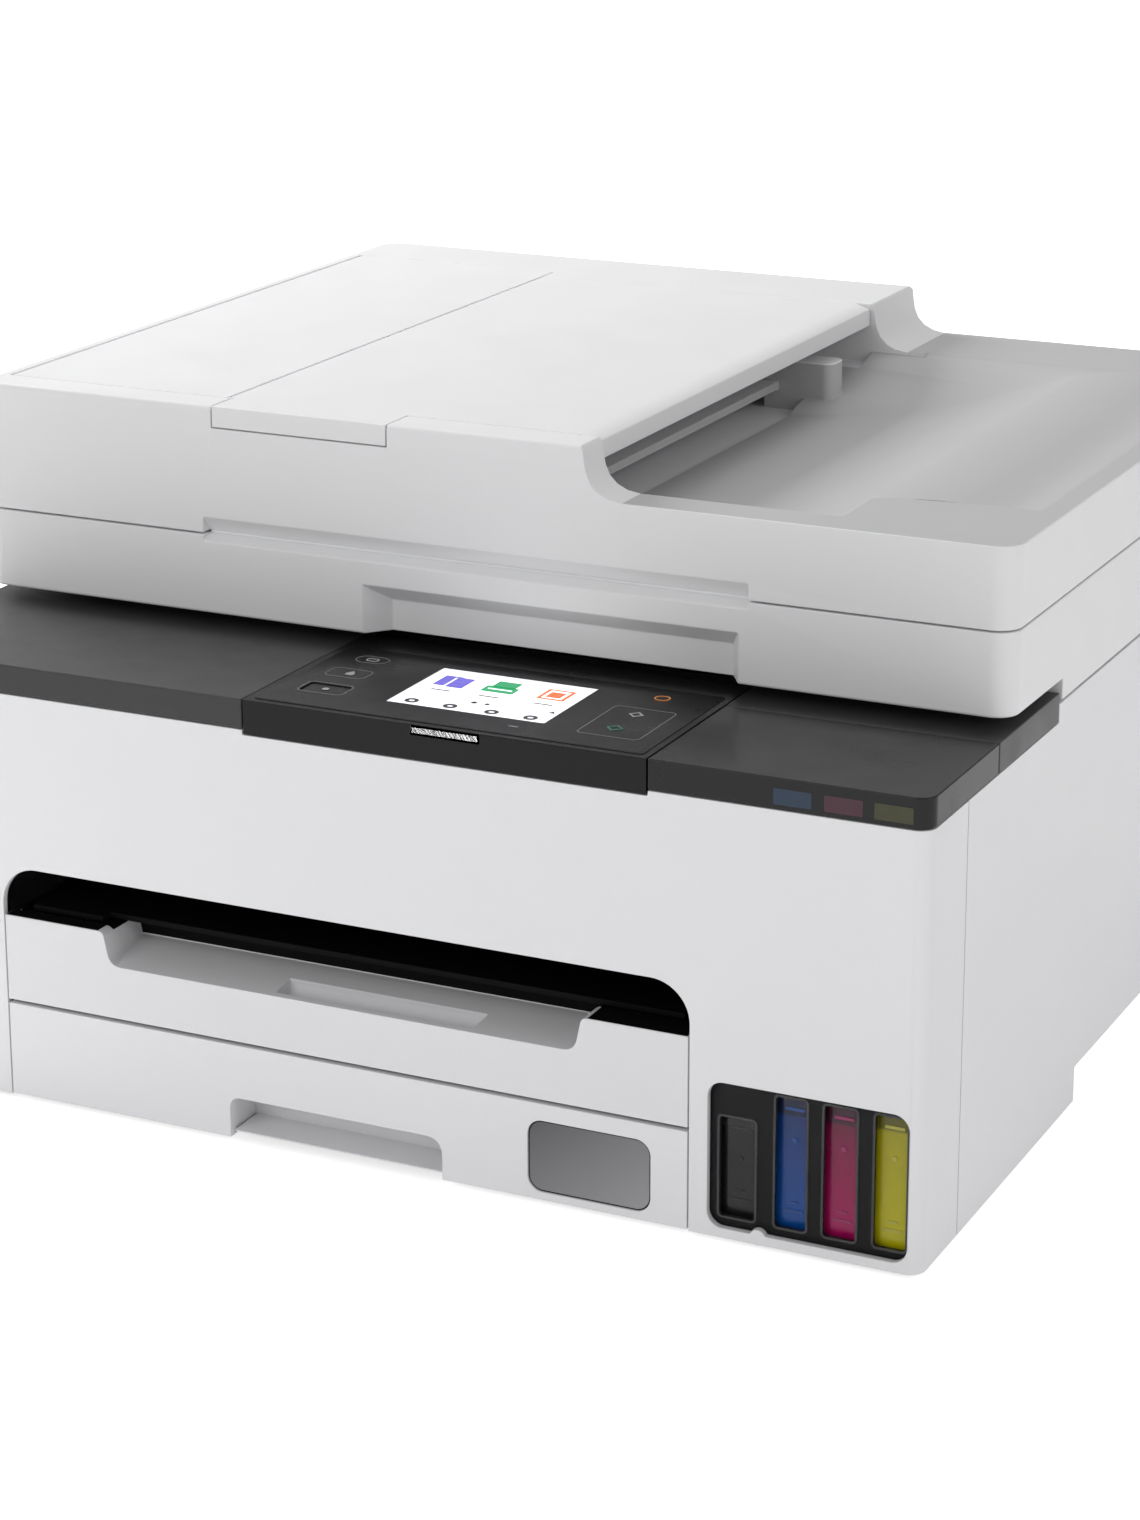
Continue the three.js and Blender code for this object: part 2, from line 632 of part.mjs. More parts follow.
function buildCassette() {
  const cassette = unit('cassette');
  place(cassette, 'cassette_tray', 'frame', cassetteTray());
  place(cassette, 'cassette_front', 'shell', cassetteFront());
  place(cassette, 'level_window', 'window', windowHole(LEVEL_WINDOW, FRONT + 0.5, FRONT + 2.1, -GAP));
  place(cassette, 'paper_guide_left', 'tray', paperGuide(-1), [PAPER_CENTRE, 0, 0]);
  place(cassette, 'paper_guide_right', 'tray', paperGuide(1), [PAPER_CENTRE, 0, 0]);
  const lengthGuide = box(-20, 20, -168.6, -166.6, GUIDE_FLOOR, CASSETTE_TOP - 3).add(
    box(-10, 10, -168.6, -145, GUIDE_FLOOR, GUIDE_FLOOR + 1.2),
  );
  place(cassette, 'paper_length_guide', 'tray', lengthGuide, [PAPER_CENTRE, 0, 0]);
  const liftPlate = box(-92, 92, 4, 126, GUIDE_FLOOR, GUIDE_FLOOR + 1.2).subtract(
    box(-30, 30, 20, 90, 0, 20),
  );
  place(cassette, 'lift_plate', 'steel', liftPlate, [PAPER_CENTRE, 0, 0]);
}

// ---- output tray ----
function notchOutline(top) {
  const { left, right, bottom, lean, radius } = NOTCH;
  const lip = 2;
  return filleted([
    [left + lean, bottom, radius],
    [right - lean, bottom, radius],
    [right, TRAY_PANEL_TOP, lip],
    [right + 8, TRAY_PANEL_TOP, 0],
    [right + 8, top, 0],
    [left - 8, top, 0],
    [left - 8, TRAY_PANEL_TOP, 0],
    [left, TRAY_PANEL_TOP, lip],
  ]);
}

// The block that holds the notch: a floor that rises gently to a low back wall.
function notchBlock() {
  const profile = outline([
    [FRONT, NOTCH.bottom - 3],
    [TRAY_FACE_BACK, NOTCH.bottom - 3],
    [TRAY_SLOPE_BACK + 2, NOTCH.back - 3],
    [TRAY_SLOPE_BACK + 2, TRAY_FLOOR_TOP],
    [FRONT, TRAY_FLOOR_TOP],
  ]);
  return alongX(profile, NOTCH.left - 4, NOTCH.right + 4);
}

function notchRoom() {
  const underFloor = alongX(
    outline([
      [FRONT - 1, NOTCH.bottom - 0.2],
      [TRAY_SLOPE_BACK, NOTCH.back],
      [TRAY_SLOPE_BACK, 30],
      [FRONT - 1, 30],
    ]),
    NOTCH.left - 10,
    NOTCH.right + 10,
  );
  return alongY(notchOutline(90), FRONT - 1, TRAY_SLOPE_BACK).subtract(underFloor);
}

function outputTray() {
  const x0 = TRAY_LEFT + GAP;
  const x1 = TRAY_RIGHT - GAP;
  const floorBottom = TRAY_FLOOR_TOP - TRAY_FLOOR_THICKNESS;
  const face = box(x0, x1, FRONT, TRAY_FACE_BACK, TRAY_PANEL_BOTTOM, TRAY_PANEL_TOP);
  const faceHollow = box(x0 + 2, x1 - 2, FRONT + WALL, TRAY_FACE_BACK + 1, 30, NOTCH.bottom - 3);
  const floor = box(x0 + 0.4, x1 - 0.4, TRAY_FACE_BACK - 1, TRAY_BACK, floorBottom, TRAY_FLOOR_TOP);
  const ledgeBack = EXTENSION.front - GAP;
  const ledge = box(NOTCH.right, x1 - 0.4, TRAY_FACE_BACK - 1, ledgeBack, floorBottom, TRAY_PANEL_TOP);
  const cheekAt = (x) => box(x, x + 2, TRAY_FACE_BACK - 1, TRAY_BACK, floorBottom, TRAY_PANEL_TOP);
  const { left, right, bottom, back } = PULL_DIP;
  const dipWall = box(left - 3, right + 3, FRONT + 0.5, back + 2, bottom - 2, NOTCH.bottom + 1);
  const dipSide = [
    [FRONT + WALL, bottom],
    [back - 5, bottom],
    [back, NOTCH.bottom],
    [back, 60],
    [FRONT + WALL, 60],
  ];
  const pastLean = outline([[right - 8, bottom - 1], [right + 1, bottom - 1], [right + 1, 60], [right, 60]]);
  const dipRoom = alongX(outline(dipSide), left, right).subtract(alongY(pastLean, -200, -170));
  const solids = [face.subtract(faceHollow), floor, ledge, cheekAt(x0 + 0.4), cheekAt(x1 - 2.4)];
  return joined([...solids, notchBlock(), dipWall]).subtract(notchRoom()).subtract(dipRoom);
}

function outputExtension() {
  const { left, right, front, back, bottom, thickness } = EXTENSION;
  const top = bottom + thickness;
  const plate = box(left, right, front, back, bottom, top);
  const leftLip = box(left, NOTCH.left - 4, TRAY_FACE_BACK + 0.8, front + 1, bottom, top);
  const fingerHole = alongZ(roundedRect(-30, 4, -160, -150, [4, 4, 4, 4]), bottom - 1, top + 1);
  return plate.add(leftLip).subtract(fingerHole);
}

// ---- printing mechanism ----
const CARRIAGE = { left: 97, right: 148, front: -36, back: 7, bottom: 94, top: 134 };
const BELT_Y = [33.4, 38.4];
const PULLEY_X = [-146, 142];

function carriageRail() {
  const profile = outline([
    [7.6, 112], [10, 112], [10, 127.6], [27.6, 127.6], [27.6, 112], [30, 112], [30, 130], [7.6, 130],
  ]);
  return alongX(profile, RAIL_LEFT, RAIL_RIGHT);
}

function carriage() {
  const { left, right, front, back, bottom, top } = CARRIAGE;
  const body = alongX(
    outline([[front, bottom], [back, bottom], [back, top], [front + 12, top], [front, top - 14]]),
    left,
    right,
  );
  const hook = box(left, right, back - 1, 31, 130.5, top);
  const head = box(left + 8, right - 8, front + 5, back - 8, bottom - 4.5, bottom + 1);
  return joined([body, hook, head]);
}

function driveBelt() {
  const inner = PULLEY_RADIUS + 0.35;
  const stadium = (radius) => {
    const shape = new THREE.Shape();
    shape.absarc(PULLEY_X[1], PULLEY_Z, radius, -Math.PI / 2, Math.PI / 2, false);
    shape.absarc(PULLEY_X[0], PULLEY_Z, radius, Math.PI / 2, 1.5 * Math.PI, false);
    return shape;
  };
  const [y0, y1] = BELT_Y;
  return alongY(stadium(inner + 1), y0, y1).subtract(alongY(stadium(inner), y0 - 1, y1 + 1));
}

function pulley() {
  const [y0, y1] = BELT_Y;
  return rod('y', PULLEY_RADIUS, y0, y1, 0, 0).add(rod('y', 2, y0 - 2, y1 + 8, 0, 0));
}

function platen() {
  const top = box(-124, 94, -40, 22, 82, 86);
  const legs = [-38, 16].map((y) => box(-120, 90, y, y + 3, MID_PLATE_TOP + GAP, 83));
  return joined([top, ...legs]);
}

function roller(spec, ringCount) {
  const shaft = rod('x', SHAFT_RADIUS, ROLLER_LEFT - 6, ROLLER_RIGHT + 6, spec.y, spec.z);
  const length = ROLLER_RIGHT - ROLLER_LEFT;
  const pitch = length / ringCount;
  const ringWidth = ringCount === 1 ? length : pitch * 0.4;
  const rings = [];
  for (let i = 0; i < ringCount; i += 1) {
    const middle = ROLLER_LEFT + pitch * (i + 0.5);
    rings.push(rod('x', spec.radius, middle - ringWidth / 2, middle + ringWidth / 2, spec.y, spec.z));
  }
  return joined([shaft, ...rings]);
}

function mainBoard() {
  const board = box(158, 159.6, 96, 164, 30, 118);
  const chips = [
    box(154.6, 158.4, 104, 124, 60, 80),
    box(155.6, 158.4, 132, 144, 64, 76),
    box(150.6, 158.4, 104, 116, 92, 110),
  ];
  return joined([board, ...chips]);
}

function buildMechanism() {
  const mechanism = unit('mechanism');
  place(mechanism, 'output_tray', 'tray', outputTray());
  place(mechanism, 'output_extension', 'dark', outputExtension());
  place(mechanism, 'carriage_rail', 'steel', carriageRail());
  place(mechanism, 'carriage', 'frame', carriage());
  place(mechanism, 'drive_belt', 'rubber', driveBelt());
  place(mechanism, 'motor_pulley', 'steel', pulley(), [PULLEY_X[0], 0, PULLEY_Z]);
  place(mechanism, 'idler_pulley', 'steel', pulley(), [PULLEY_X[1], 0, PULLEY_Z]);
  place(mechanism, 'platen', 'frame', platen());
  place(mechanism, 'feed_roller', 'rubber', roller(FEED_ROLLER, 1));
  place(mechanism, 'exit_roller', 'rubber', roller(EXIT_ROLLER, 6));
  place(mechanism, 'purge_unit', 'frame', box(112, 148, -36, 5, MID_PLATE_TOP + GAP, 88.5));
  place(mechanism, 'main_board', 'board', mainBoard());
  place(mechanism, 'power_supply', 'dark', box(-180, -144, 96, 160, 20, 76));
}

// ---- scanner ----
function upperOutline(back, inset) {
  const radius = CORNER_RADIUS - Math.min(inset, CORNER_RADIUS - 1);
  return roundedRect(
    LEFT_SIDE + inset,
    RIGHT_SIDE - inset,
    UPPER_FRONT + inset,
    back - inset,
    [radius, radius, radius, radius],
  );
}

const RECESS = { left: -40, right: 93, top: 172, depth: 8 };
const SKIRT = { bottom: 148.4, front: -72, wall: 3 };
const GROOVE = { left: -99.5, right: 96, depth: 5 };

// The lower wall round the sides and the back of the scanner, behind the raised front part.
function scannerSkirt() {
  const { bottom, front, wall } = SKIRT;
  const outer = alongZ(upperOutline(SCANNER_BACK, 0), bottom, SCANNER_BOTTOM + 1);
  const inner = alongZ(upperOutline(SCANNER_BACK, wall), bottom - 1, SCANNER_BOTTOM);
  const crossWall = box(LEFT_SIDE + 1, RIGHT_SIDE - 1, front, front + wall, bottom, SCANNER_BOTTOM + 1);
  return outer.subtract(inner).intersect(box(-200, 200, front, 200, 140, 160)).add(crossWall);
}

function scannerBase() {
  const shell = alongZ(upperOutline(SCANNER_BACK, 0), SCANNER_BOTTOM, SCANNER_TOP);
  const hollow = alongZ(upperOutline(SCANNER_BACK, 4), SCANNER_BOTTOM + 2.5, SCANNER_TOP - 4);
  const recessWall = box(RECESS.left - 4, RECESS.right + 4, -130, UPPER_FRONT + RECESS.depth + 2.5, 150, 190);
  const mouth = { left: RECESS.left, right: RECESS.right, bottom: SCANNER_BOTTOM - 1, top: RECESS.top };
  const end = { left: mouth.left + 7, right: mouth.right - 5, bottom: mouth.bottom, top: mouth.top - 6 };
  const recess = taperedAlongY(mouth, end, UPPER_FRONT - 0.01, UPPER_FRONT + RECESS.depth);
  const seat = box(GLASS.left, GLASS.right, GLASS.front, GLASS.back, SCANNER_TOP - 2.8, SCANNER_TOP + 1);
  const sightFront = GLASS.front + 3;
  const sightBack = GLASS.back - 3;
  const sight = box(GLASS.left + 3, GLASS.right - 3, sightFront, sightBack, SCANNER_TOP - 6, SCANNER_TOP);
  const feederSlit = box(-174, -160, sightFront, sightBack, SCANNER_TOP - 6, SCANNER_TOP + 1);
  const chamfer = alongX(
    outline([
      [UPPER_FRONT - 1, SCANNER_TOP - 3],
      [UPPER_FRONT + GROOVE.depth, SCANNER_TOP + 1],
      [UPPER_FRONT - 1, SCANNER_TOP + 1],
    ]),
    GROOVE.left,
    GROOVE.right,
  );
  return shell
    .subtract(hollow.subtract(recessWall))
    .subtract(recess)
    .subtract(seat)
    .subtract(sight)
    .subtract(feederSlit)
    .subtract(chamfer)
    .add(scannerSkirt());
}

function buildScanner() {
  const scanner = unit('scanner');
  place(scanner, 'scanner_base', 'shell', scannerBase());
  const glass = box(
    GLASS.left + GAP,
    GLASS.right - GAP,
    GLASS.front + GAP,
    GLASS.back - GAP,
    SCANNER_TOP - 2.5,
    SCANNER_TOP - 0.3,
  );
  place(scanner, 'platen_glass', 'glass', glass);
  place(scanner, 'scan_carriage', 'dark', box(-177, -157, -98, 128, 161, 177));
}

// ---- document cover and feeder ----
function coverOutline() {
  return outline([
    [LEFT_SIDE, LID_BOTTOM],
    [RIGHT_SIDE, LID_BOTTOM],
    [RIGHT_SIDE, LID_LOW],
    [53, LID_LOW],
    [48.4, LID_LOW + 0.7],
    [44.8, LID_LOW + 2.4],
    [42.2, LID_LOW + 5],
    [40.7, LID_LOW + 8.4],
    [40.1, LID_LOW + 12],
    [39.6, LID_LOW + 15.6],
    [38.6, LID_TOP],
    [LEFT_SIDE, LID_TOP],
  ]);
}

// Height of the basin's floor, from its deep end under the document tray to the right rim.
const BASIN_FLOOR = [
  [12, 194],
  [40, 195.5],
  [60, 197],
  [80, 199],
  [95, 201.2],
  [110, 204.6],
  [122, 207.3],
  [134, 208.6],
  [146, 208.6],
  [156, 207.6],
  [164, 207.3],
  [171, 208.2],
  [BASIN_RIGHT, LID_LOW + 0.05],
];

// The space above the output basin: a floor that climbs to the right, under a back wall that curves down.
function basinRoom() {
  const high = LID_TOP + 10;
  const floorCurve = new THREE.SplineCurve(BASIN_FLOOR.map(([x, z]) => new THREE.Vector2(x, z)));
  const floorPoints = floorCurve.getPoints(36).map((point) => [point.x, point.y]);
  const ramp = alongY(
    outline([...floorPoints, [BASIN_RIGHT, high], [20, high], [20, 200], [12, 200]]),
    BASIN_FRONT,
    BASIN_BACK + 1,
  );
  const cove = new THREE.Shape();
  cove.moveTo(BASIN_FRONT - 1, high + 1);
  cove.lineTo(BASIN_FRONT - 1, 190);
  cove.lineTo(BASIN_BACK - 77, 190);
  cove.quadraticCurveTo(BASIN_BACK - 62, 197.5, BASIN_BACK - 52, 198.5);
  cove.quadraticCurveTo(BASIN_BACK - 19, 201, BASIN_BACK, LID_LOW + 1);
  cove.lineTo(BASIN_BACK, high + 1);
  cove.closePath();
  const plateauSide = alongY(
    outline([[110, 200], [121, LID_LOW + 0.02], [200, LID_LOW + 0.02], [200, 180], [110, 180]]),
    -110,
    -60,
  );
  const plateauPlan = alongZ(
    filleted([[110, -110, 0], [112, -100, 6], [121, -78, 10], [160, -74, 4], [200, -74, 0], [200, -110, 0]]),
    170,
    240,
  );
  const highBack = box(0, 60, DOC_TRAY_BACK + GAP, 150, 180, 240);
  return ramp.intersect(alongX(cove, 0, 200)).subtract(plateauSide.intersect(plateauPlan)).subtract(highBack);
}

function documentCover() {
  const shell = alongY(coverOutline(), UPPER_FRONT, LID_BACK);
  const rounded = shell.intersect(alongZ(upperOutline(LID_BACK, 0), LID_BOTTOM - 1, LID_TOP + 1));
  const feederRight = FEEDER_RIGHT + GAP;
  const feederRoom = box(FEEDER_LEFT - 0.9, feederRight, FEEDER_FRONT - GAP, FEEDER_BACK + GAP, 190, 240);
  const tunnel = box(FEEDER_RIGHT, 30, -103, DOC_TRAY_BACK - 3, BASIN_FLOOR[0][1], FEED_PLATE_TOP - 3);
  const trayRoom = box(FEEDER_RIGHT, 38.4, DOC_TRAY_FRONT - GAP, DOC_TRAY_BACK + GAP, FEED_PLATE_TOP, 240);
  const tabRoom = box(TAB.left - GAP, TAB.right + GAP, -130, DOC_TRAY_FRONT, TAB.bottom - GAP, 240);
  const padRoom = box(GLASS.left - 2, GLASS.right + 2, GLASS.front - 2, GLASS.back + 2, 180, 186);
  const undercut = alongX(
    outline([
      [UPPER_FRONT - 1, LID_BOTTOM - 1],
      [UPPER_FRONT + GROOVE.depth, LID_BOTTOM - 1],
      [UPPER_FRONT - 1, LID_BOTTOM + 6.7],
    ]),
    GROOVE.left,
    GROOVE.right,
  );
  const paperStop = alongZ(roundedRect(14, 41, 86, 99, [1, 4, 4, 1]), 193, 212);
  const hingeChamfer = alongX(
    outline([
      [LID_BACK - 2, LID_BOTTOM - 1],
      [LID_BACK + 1, LID_BOTTOM - 1],
      [LID_BACK + 1, LID_BOTTOM + 3],
    ]),
    -200,
    200,
  );
  return rounded
    .subtract(feederRoom)
    .subtract(tunnel)
    .subtract(trayRoom)
    .subtract(tabRoom)
    .subtract(basinRoom())
    .subtract(padRoom)
    .subtract(undercut)
    .subtract(hingeChamfer)
    .add(paperStop);
}

function documentTray() {
  const under = LID_TOP - PLATE_THICKNESS;
  const left = FEEDER_RIGHT + 0.8;
  const profile = outline([
    [left, LID_TOP],
    [32, LID_TOP],
    [DOC_TRAY_RIGHT, LID_TOP - 1.9],
    [DOC_TRAY_RIGHT, 218],
    [36, 217],
    [29, 217],
    [26, under],
    [left, under],
  ]);
  const tab = box(TAB.left, TAB.right, UPPER_FRONT, DOC_TRAY_FRONT + 2, TAB.bottom, LID_TOP);
  const behindTab = [DOC_TRAY_FRONT - 1, DOC_TRAY_FRONT + 3];
  const tabUnder = box(TAB.left - 1, TAB.right + 1, ...behindTab, TAB.bottom - 1, under);
  return alongY(profile, DOC_TRAY_FRONT, DOC_TRAY_BACK).add(tab.subtract(tabUnder));
}

function feederCover() {
  const under = LID_TOP - PLATE_THICKNESS;
  const plate = box(FEEDER_LEFT, FEEDER_RIGHT, FEEDER_FRONT, FEEDER_BACK, under, LID_TOP);
  const ribs = [-60, 92].map((y) => box(FEEDER_LEFT + 12, FEEDER_RIGHT - 12, y, y + 2, under - 5, under + 1));
  return joined([plate, ...ribs]);
}

// Document side guide; side is -1 for the front one, 1 for the rear one.
function documentGuide(side) {
  const face = side * 105.5;
  const y0 = Math.min(face, face + side * 2);
  const foot0 = Math.min(face, face - side * 24);
  const upright = box(-78, -12, y0, y0 + 2, FEED_PLATE_TOP + 0.3, 216);
  const foot = box(-60, -30, foot0, foot0 + 24, FEED_PLATE_TOP + 0.3, FEED_PLATE_TOP + 1.6);
  return upright.add(foot);
}

const DOCUMENT_CENTRE = 12.5;

function buildFeeder() {
  const feeder = unit('feeder');
  place(feeder, 'document_cover', 'shell', documentCover());
  const pad = box(GLASS.left - 1.5, GLASS.right + 1.5, GLASS.front - 1.5, GLASS.back + 1.5, 182.6, 185.6);
  place(feeder, 'pressure_plate', 'light', pad);
  place(feeder, 'document_tray', 'shell', documentTray());
  place(feeder, 'feeder_cover', 'shell', feederCover());
  place(feeder, 'document_guide_front', 'tray', documentGuide(-1), [0, DOCUMENT_CENTRE, 0]);
  place(feeder, 'document_guide_rear', 'tray', documentGuide(1), [0, DOCUMENT_CENTRE, 0]);
  const pick = rod('y', 9, -20, 20, 0, 0).add(rod('y', 3, -70, 70, 0, 0));
  place(feeder, 'document_pick_roller', 'rubber', pick, [-112, DOCUMENT_CENTRE, 207]);
}

buildBody();
buildPanel();
buildInkSystem();
buildCassette();
buildMechanism();
buildScanner();
buildFeeder();

export default printer;
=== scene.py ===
"""Looks of a desktop ink-tank printer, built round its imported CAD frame.

Sizes in the helper calls are millimetres in the part's frame: X to the right, Y to the back, Z up.
"""

import json
import math

import bpy
from mathutils import Matrix, Vector


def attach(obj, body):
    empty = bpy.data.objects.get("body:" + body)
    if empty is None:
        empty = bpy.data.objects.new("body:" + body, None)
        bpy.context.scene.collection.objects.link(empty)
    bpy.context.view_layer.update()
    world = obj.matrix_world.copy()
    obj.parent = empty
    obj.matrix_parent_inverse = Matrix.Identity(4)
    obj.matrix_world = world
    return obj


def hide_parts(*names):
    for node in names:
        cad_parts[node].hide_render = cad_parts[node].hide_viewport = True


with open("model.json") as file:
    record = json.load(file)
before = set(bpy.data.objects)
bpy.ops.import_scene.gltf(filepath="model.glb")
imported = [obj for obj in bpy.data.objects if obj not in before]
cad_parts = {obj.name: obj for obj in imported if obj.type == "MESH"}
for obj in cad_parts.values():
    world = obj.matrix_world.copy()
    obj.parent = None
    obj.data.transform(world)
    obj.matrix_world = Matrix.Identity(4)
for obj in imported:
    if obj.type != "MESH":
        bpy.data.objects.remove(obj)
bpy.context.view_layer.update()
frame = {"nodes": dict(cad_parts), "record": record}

MM = 0.001
LEFT_SIDE = -187.0
RIGHT_SIDE = 182.5
CENTRING = -(LEFT_SIDE + RIGHT_SIDE) / 2
SIDE_RADIUS = 8.0
FRONT = -190.0
FRONT_WALL = 2.4
UPPER_FRONT = -121.3
SCANNER_BOTTOM = 155.3
SCANNER_BACK = 176.0
LID_TOP = 226.0
LID_BACK = 172.0
STRIP_TOP = 151.5
PRINT_BOTTOM = STRIP_TOP + 0.2
PRINT_TOP = STRIP_TOP + 0.32
SCREEN_LIFT = 0.02
SCREEN_LAYER = 0.03
LINE = 0.35

# How far the painted shade on the output tray's inner floor reaches to the front and down.
TRAY_FLOOR_FRONT = -177.8
TRAY_FLOOR_BOTTOM = 58.2

# The output basin sunk in the lid, as low and high ends.
BASIN_X = (12, 176)
BASIN_Y = (-106.6, 137.2)
BASIN_Z = (193.5, 209.1)

# Depths behind the ink window: the dark mask, its lips and the marks on the tank walls.
MASK_Y = (-187.4, -186.2)
LIP_Y = (-187.7, -187.35)
MARK_Y = (-184.75, -184.45)
LIP_WIDTH = 0.7

record = frame["record"]
BODY_OF = {node: body for body, nodes in record["behaviour"]["bodies"].items() for node in nodes}


# ---------------------------------------------------------------- materials
class Recipe:
    """A node material with a Principled shader and small helpers for wiring."""

    def __init__(self, name):
        self.material = bpy.data.materials.new(name)
        self.material.use_nodes = True
        self.tree = self.material.node_tree
        self.shader = self.tree.nodes["Principled BSDF"]
        self.coords = self.node("ShaderNodeTexCoord").outputs["Object"]

    def node(self, kind, **settings):
        made = self.tree.nodes.new(kind)
        for key, value in settings.items():
            setattr(made, key, value)
        return made

    def link(self, source, target):
        self.tree.links.new(source, target)

    def noise(self, scale, detail=2.0, roughness=0.5, stretch=None):
        texture = self.node("ShaderNodeTexNoise")
        texture.inputs["Scale"].default_value = scale
        texture.inputs["Detail"].default_value = detail
        texture.inputs["Roughness"].default_value = roughness
        source = self.coords
        if stretch:
            mapping = self.node("ShaderNodeMapping")
            mapping.inputs["Scale"].default_value = stretch
            self.link(self.coords, mapping.inputs["Vector"])
            source = mapping.outputs["Vector"]
        self.link(source, texture.inputs["Vector"])
        return texture.outputs["Fac"]

    def ranged(self, value, low, high, to_low, to_high):
        node = self.node("ShaderNodeMapRange")
        node.inputs["From Min"].default_value = low
        node.inputs["From Max"].default_value = high
        node.inputs["To Min"].default_value = to_low
        node.inputs["To Max"].default_value = to_high
        self.link(value, node.inputs["Value"])
        return node.outputs["Result"]

    def mixed(self, factor, first, second):
        node = self.node("ShaderNodeMix", data_type="RGBA")
        self.link(factor, node.inputs["Factor"])
        for value, socket in ((first, node.inputs["A"]), (second, node.inputs["B"])):
            if isinstance(value, tuple):
                socket.default_value = (*value, 1.0)
            else:
                self.link(value, socket)
        return node.outputs["Result"]

    def height(self, axis="Z"):
        split = self.node("ShaderNodeSeparateXYZ")
        self.link(self.coords, split.inputs["Vector"])
        return split.outputs[axis]

    def bump(self, value, strength, distance):
        node = self.node("ShaderNodeBump")
        node.inputs["Strength"].default_value = strength
        node.inputs["Distance"].default_value = distance
        self.link(value, node.inputs["Height"])
        self.link(node.outputs["Normal"], self.shader.inputs["Normal"])


def shaded(colour, factor):
    """A colour made darker or lighter, kept under full white."""
    return tuple(min(1.0, channel * factor) for channel in colour)


def moulded(name, colour, rough, grain=0.10, grain_size=0.0008, tint=0.02, wear=0.10, specular=0.5):
    """Moulded plastic: fine spark-eroded grain, faint cloudiness, edges rubbed a little lighter."""
    recipe = Recipe(name)
    shader = recipe.shader
    cloud = recipe.noise(9.0, detail=4.0)
    base = recipe.mixed(cloud, shaded(colour, 1 - tint), shaded(colour, 1 + tint))
    edge = recipe.node("ShaderNodeNewGeometry").outputs["Pointiness"]
    rubbed = recipe.ranged(edge, 0.53, 0.62, 0.0, wear)
    base = recipe.mixed(rubbed, base, shaded(colour, 1.0 + 2.0 * wear))
    recipe.link(base, shader.inputs["Base Color"])
    patches = recipe.noise(55.0, detail=3.0)
    recipe.link(recipe.ranged(patches, 0.3, 0.7, rough - 0.04, rough + 0.05), shader.inputs["Roughness"])
    recipe.bump(recipe.noise(1.0 / grain_size, detail=1.0), grain, 0.00008)
    shader.inputs["Specular IOR Level"].default_value = specular
    return recipe.material


def metal(name, colour, rough, stretch):
    """Rolled or turned metal with fine lines along its length."""
    recipe = Recipe(name)
    shader = recipe.shader
    lines = recipe.noise(900.0, detail=2.0, stretch=stretch)
    recipe.link(recipe.mixed(lines, shaded(colour, 0.9), shaded(colour, 1.06)), shader.inputs["Base Color"])
    recipe.link(recipe.ranged(lines, 0.3, 0.7, rough - 0.06, rough + 0.1), shader.inputs["Roughness"])
    recipe.bump(lines, 0.06, 0.00005)
    shader.inputs["Metallic"].default_value = 1.0
    return recipe.material


def clear(name, colour, alpha, rough, specular=0.5):
    """Clear or smoky sheet: a glossy face over a thin tinted layer."""
    recipe = Recipe(name)
    shader = recipe.shader
    cloud = recipe.noise(30.0, detail=2.0)
    recipe.link(recipe.mixed(cloud, shaded(colour, 0.9), shaded(colour, 1.1)), shader.inputs["Base Color"])
    recipe.link(recipe.ranged(cloud, 0.3, 0.7, rough, rough + 0.04), shader.inputs["Roughness"])
    recipe.bump(recipe.noise(60.0, detail=1.0), 0.02, 0.00005)
    shader.inputs["Alpha"].default_value = alpha
    shader.inputs["Specular IOR Level"].default_value = specular
    recipe.material.surface_render_method = "BLENDED"
    return recipe.material


def glass_with_painted_shade(name, dark, light, alpha):
    """Smoky window whose colour grows lighter towards its lower right corner, a painted shade of the recess
    behind the pane.
    """
    recipe = Recipe(name)
    shader = recipe.shader
    across = recipe.ranged(recipe.height("X"), 0.056, 0.097, 0.0, 0.5)
    down = recipe.ranged(recipe.height("Z"), 0.029, 0.005, 0.0, 0.5)
    total = recipe.node("ShaderNodeMath", operation="ADD")
    recipe.link(across, total.inputs[0])
    recipe.link(down, total.inputs[1])
    recipe.link(recipe.mixed(total.outputs["Value"], dark, light), shader.inputs["Base Color"])
    recipe.link(recipe.ranged(recipe.noise(40.0), 0.3, 0.7, 0.16, 0.22), shader.inputs["Roughness"])
    recipe.bump(recipe.noise(60.0, detail=1.0), 0.02, 0.00005)
    shader.inputs["Alpha"].default_value = alpha
    recipe.material.surface_render_method = "BLENDED"
    return recipe.material


def lit(name, colour, strength, variation=0.04):
    """A surface lit from behind."""
    recipe = Recipe(name)
    shader = recipe.shader
    cloud = recipe.noise(120.0, detail=2.0)
    glow = recipe.mixed(cloud, shaded(colour, 1 - variation), shaded(colour, 1 + variation))
    recipe.link(glow, shader.inputs["Base Color"])
    recipe.link(glow, shader.inputs["Emission Color"])
    recipe.link(recipe.ranged(cloud, 0.3, 0.7, 0.22, 0.3), shader.inputs["Roughness"])
    recipe.bump(recipe.noise(400.0), 0.02, 0.00003)
    shader.inputs["Emission Strength"].default_value = strength
    return recipe.material


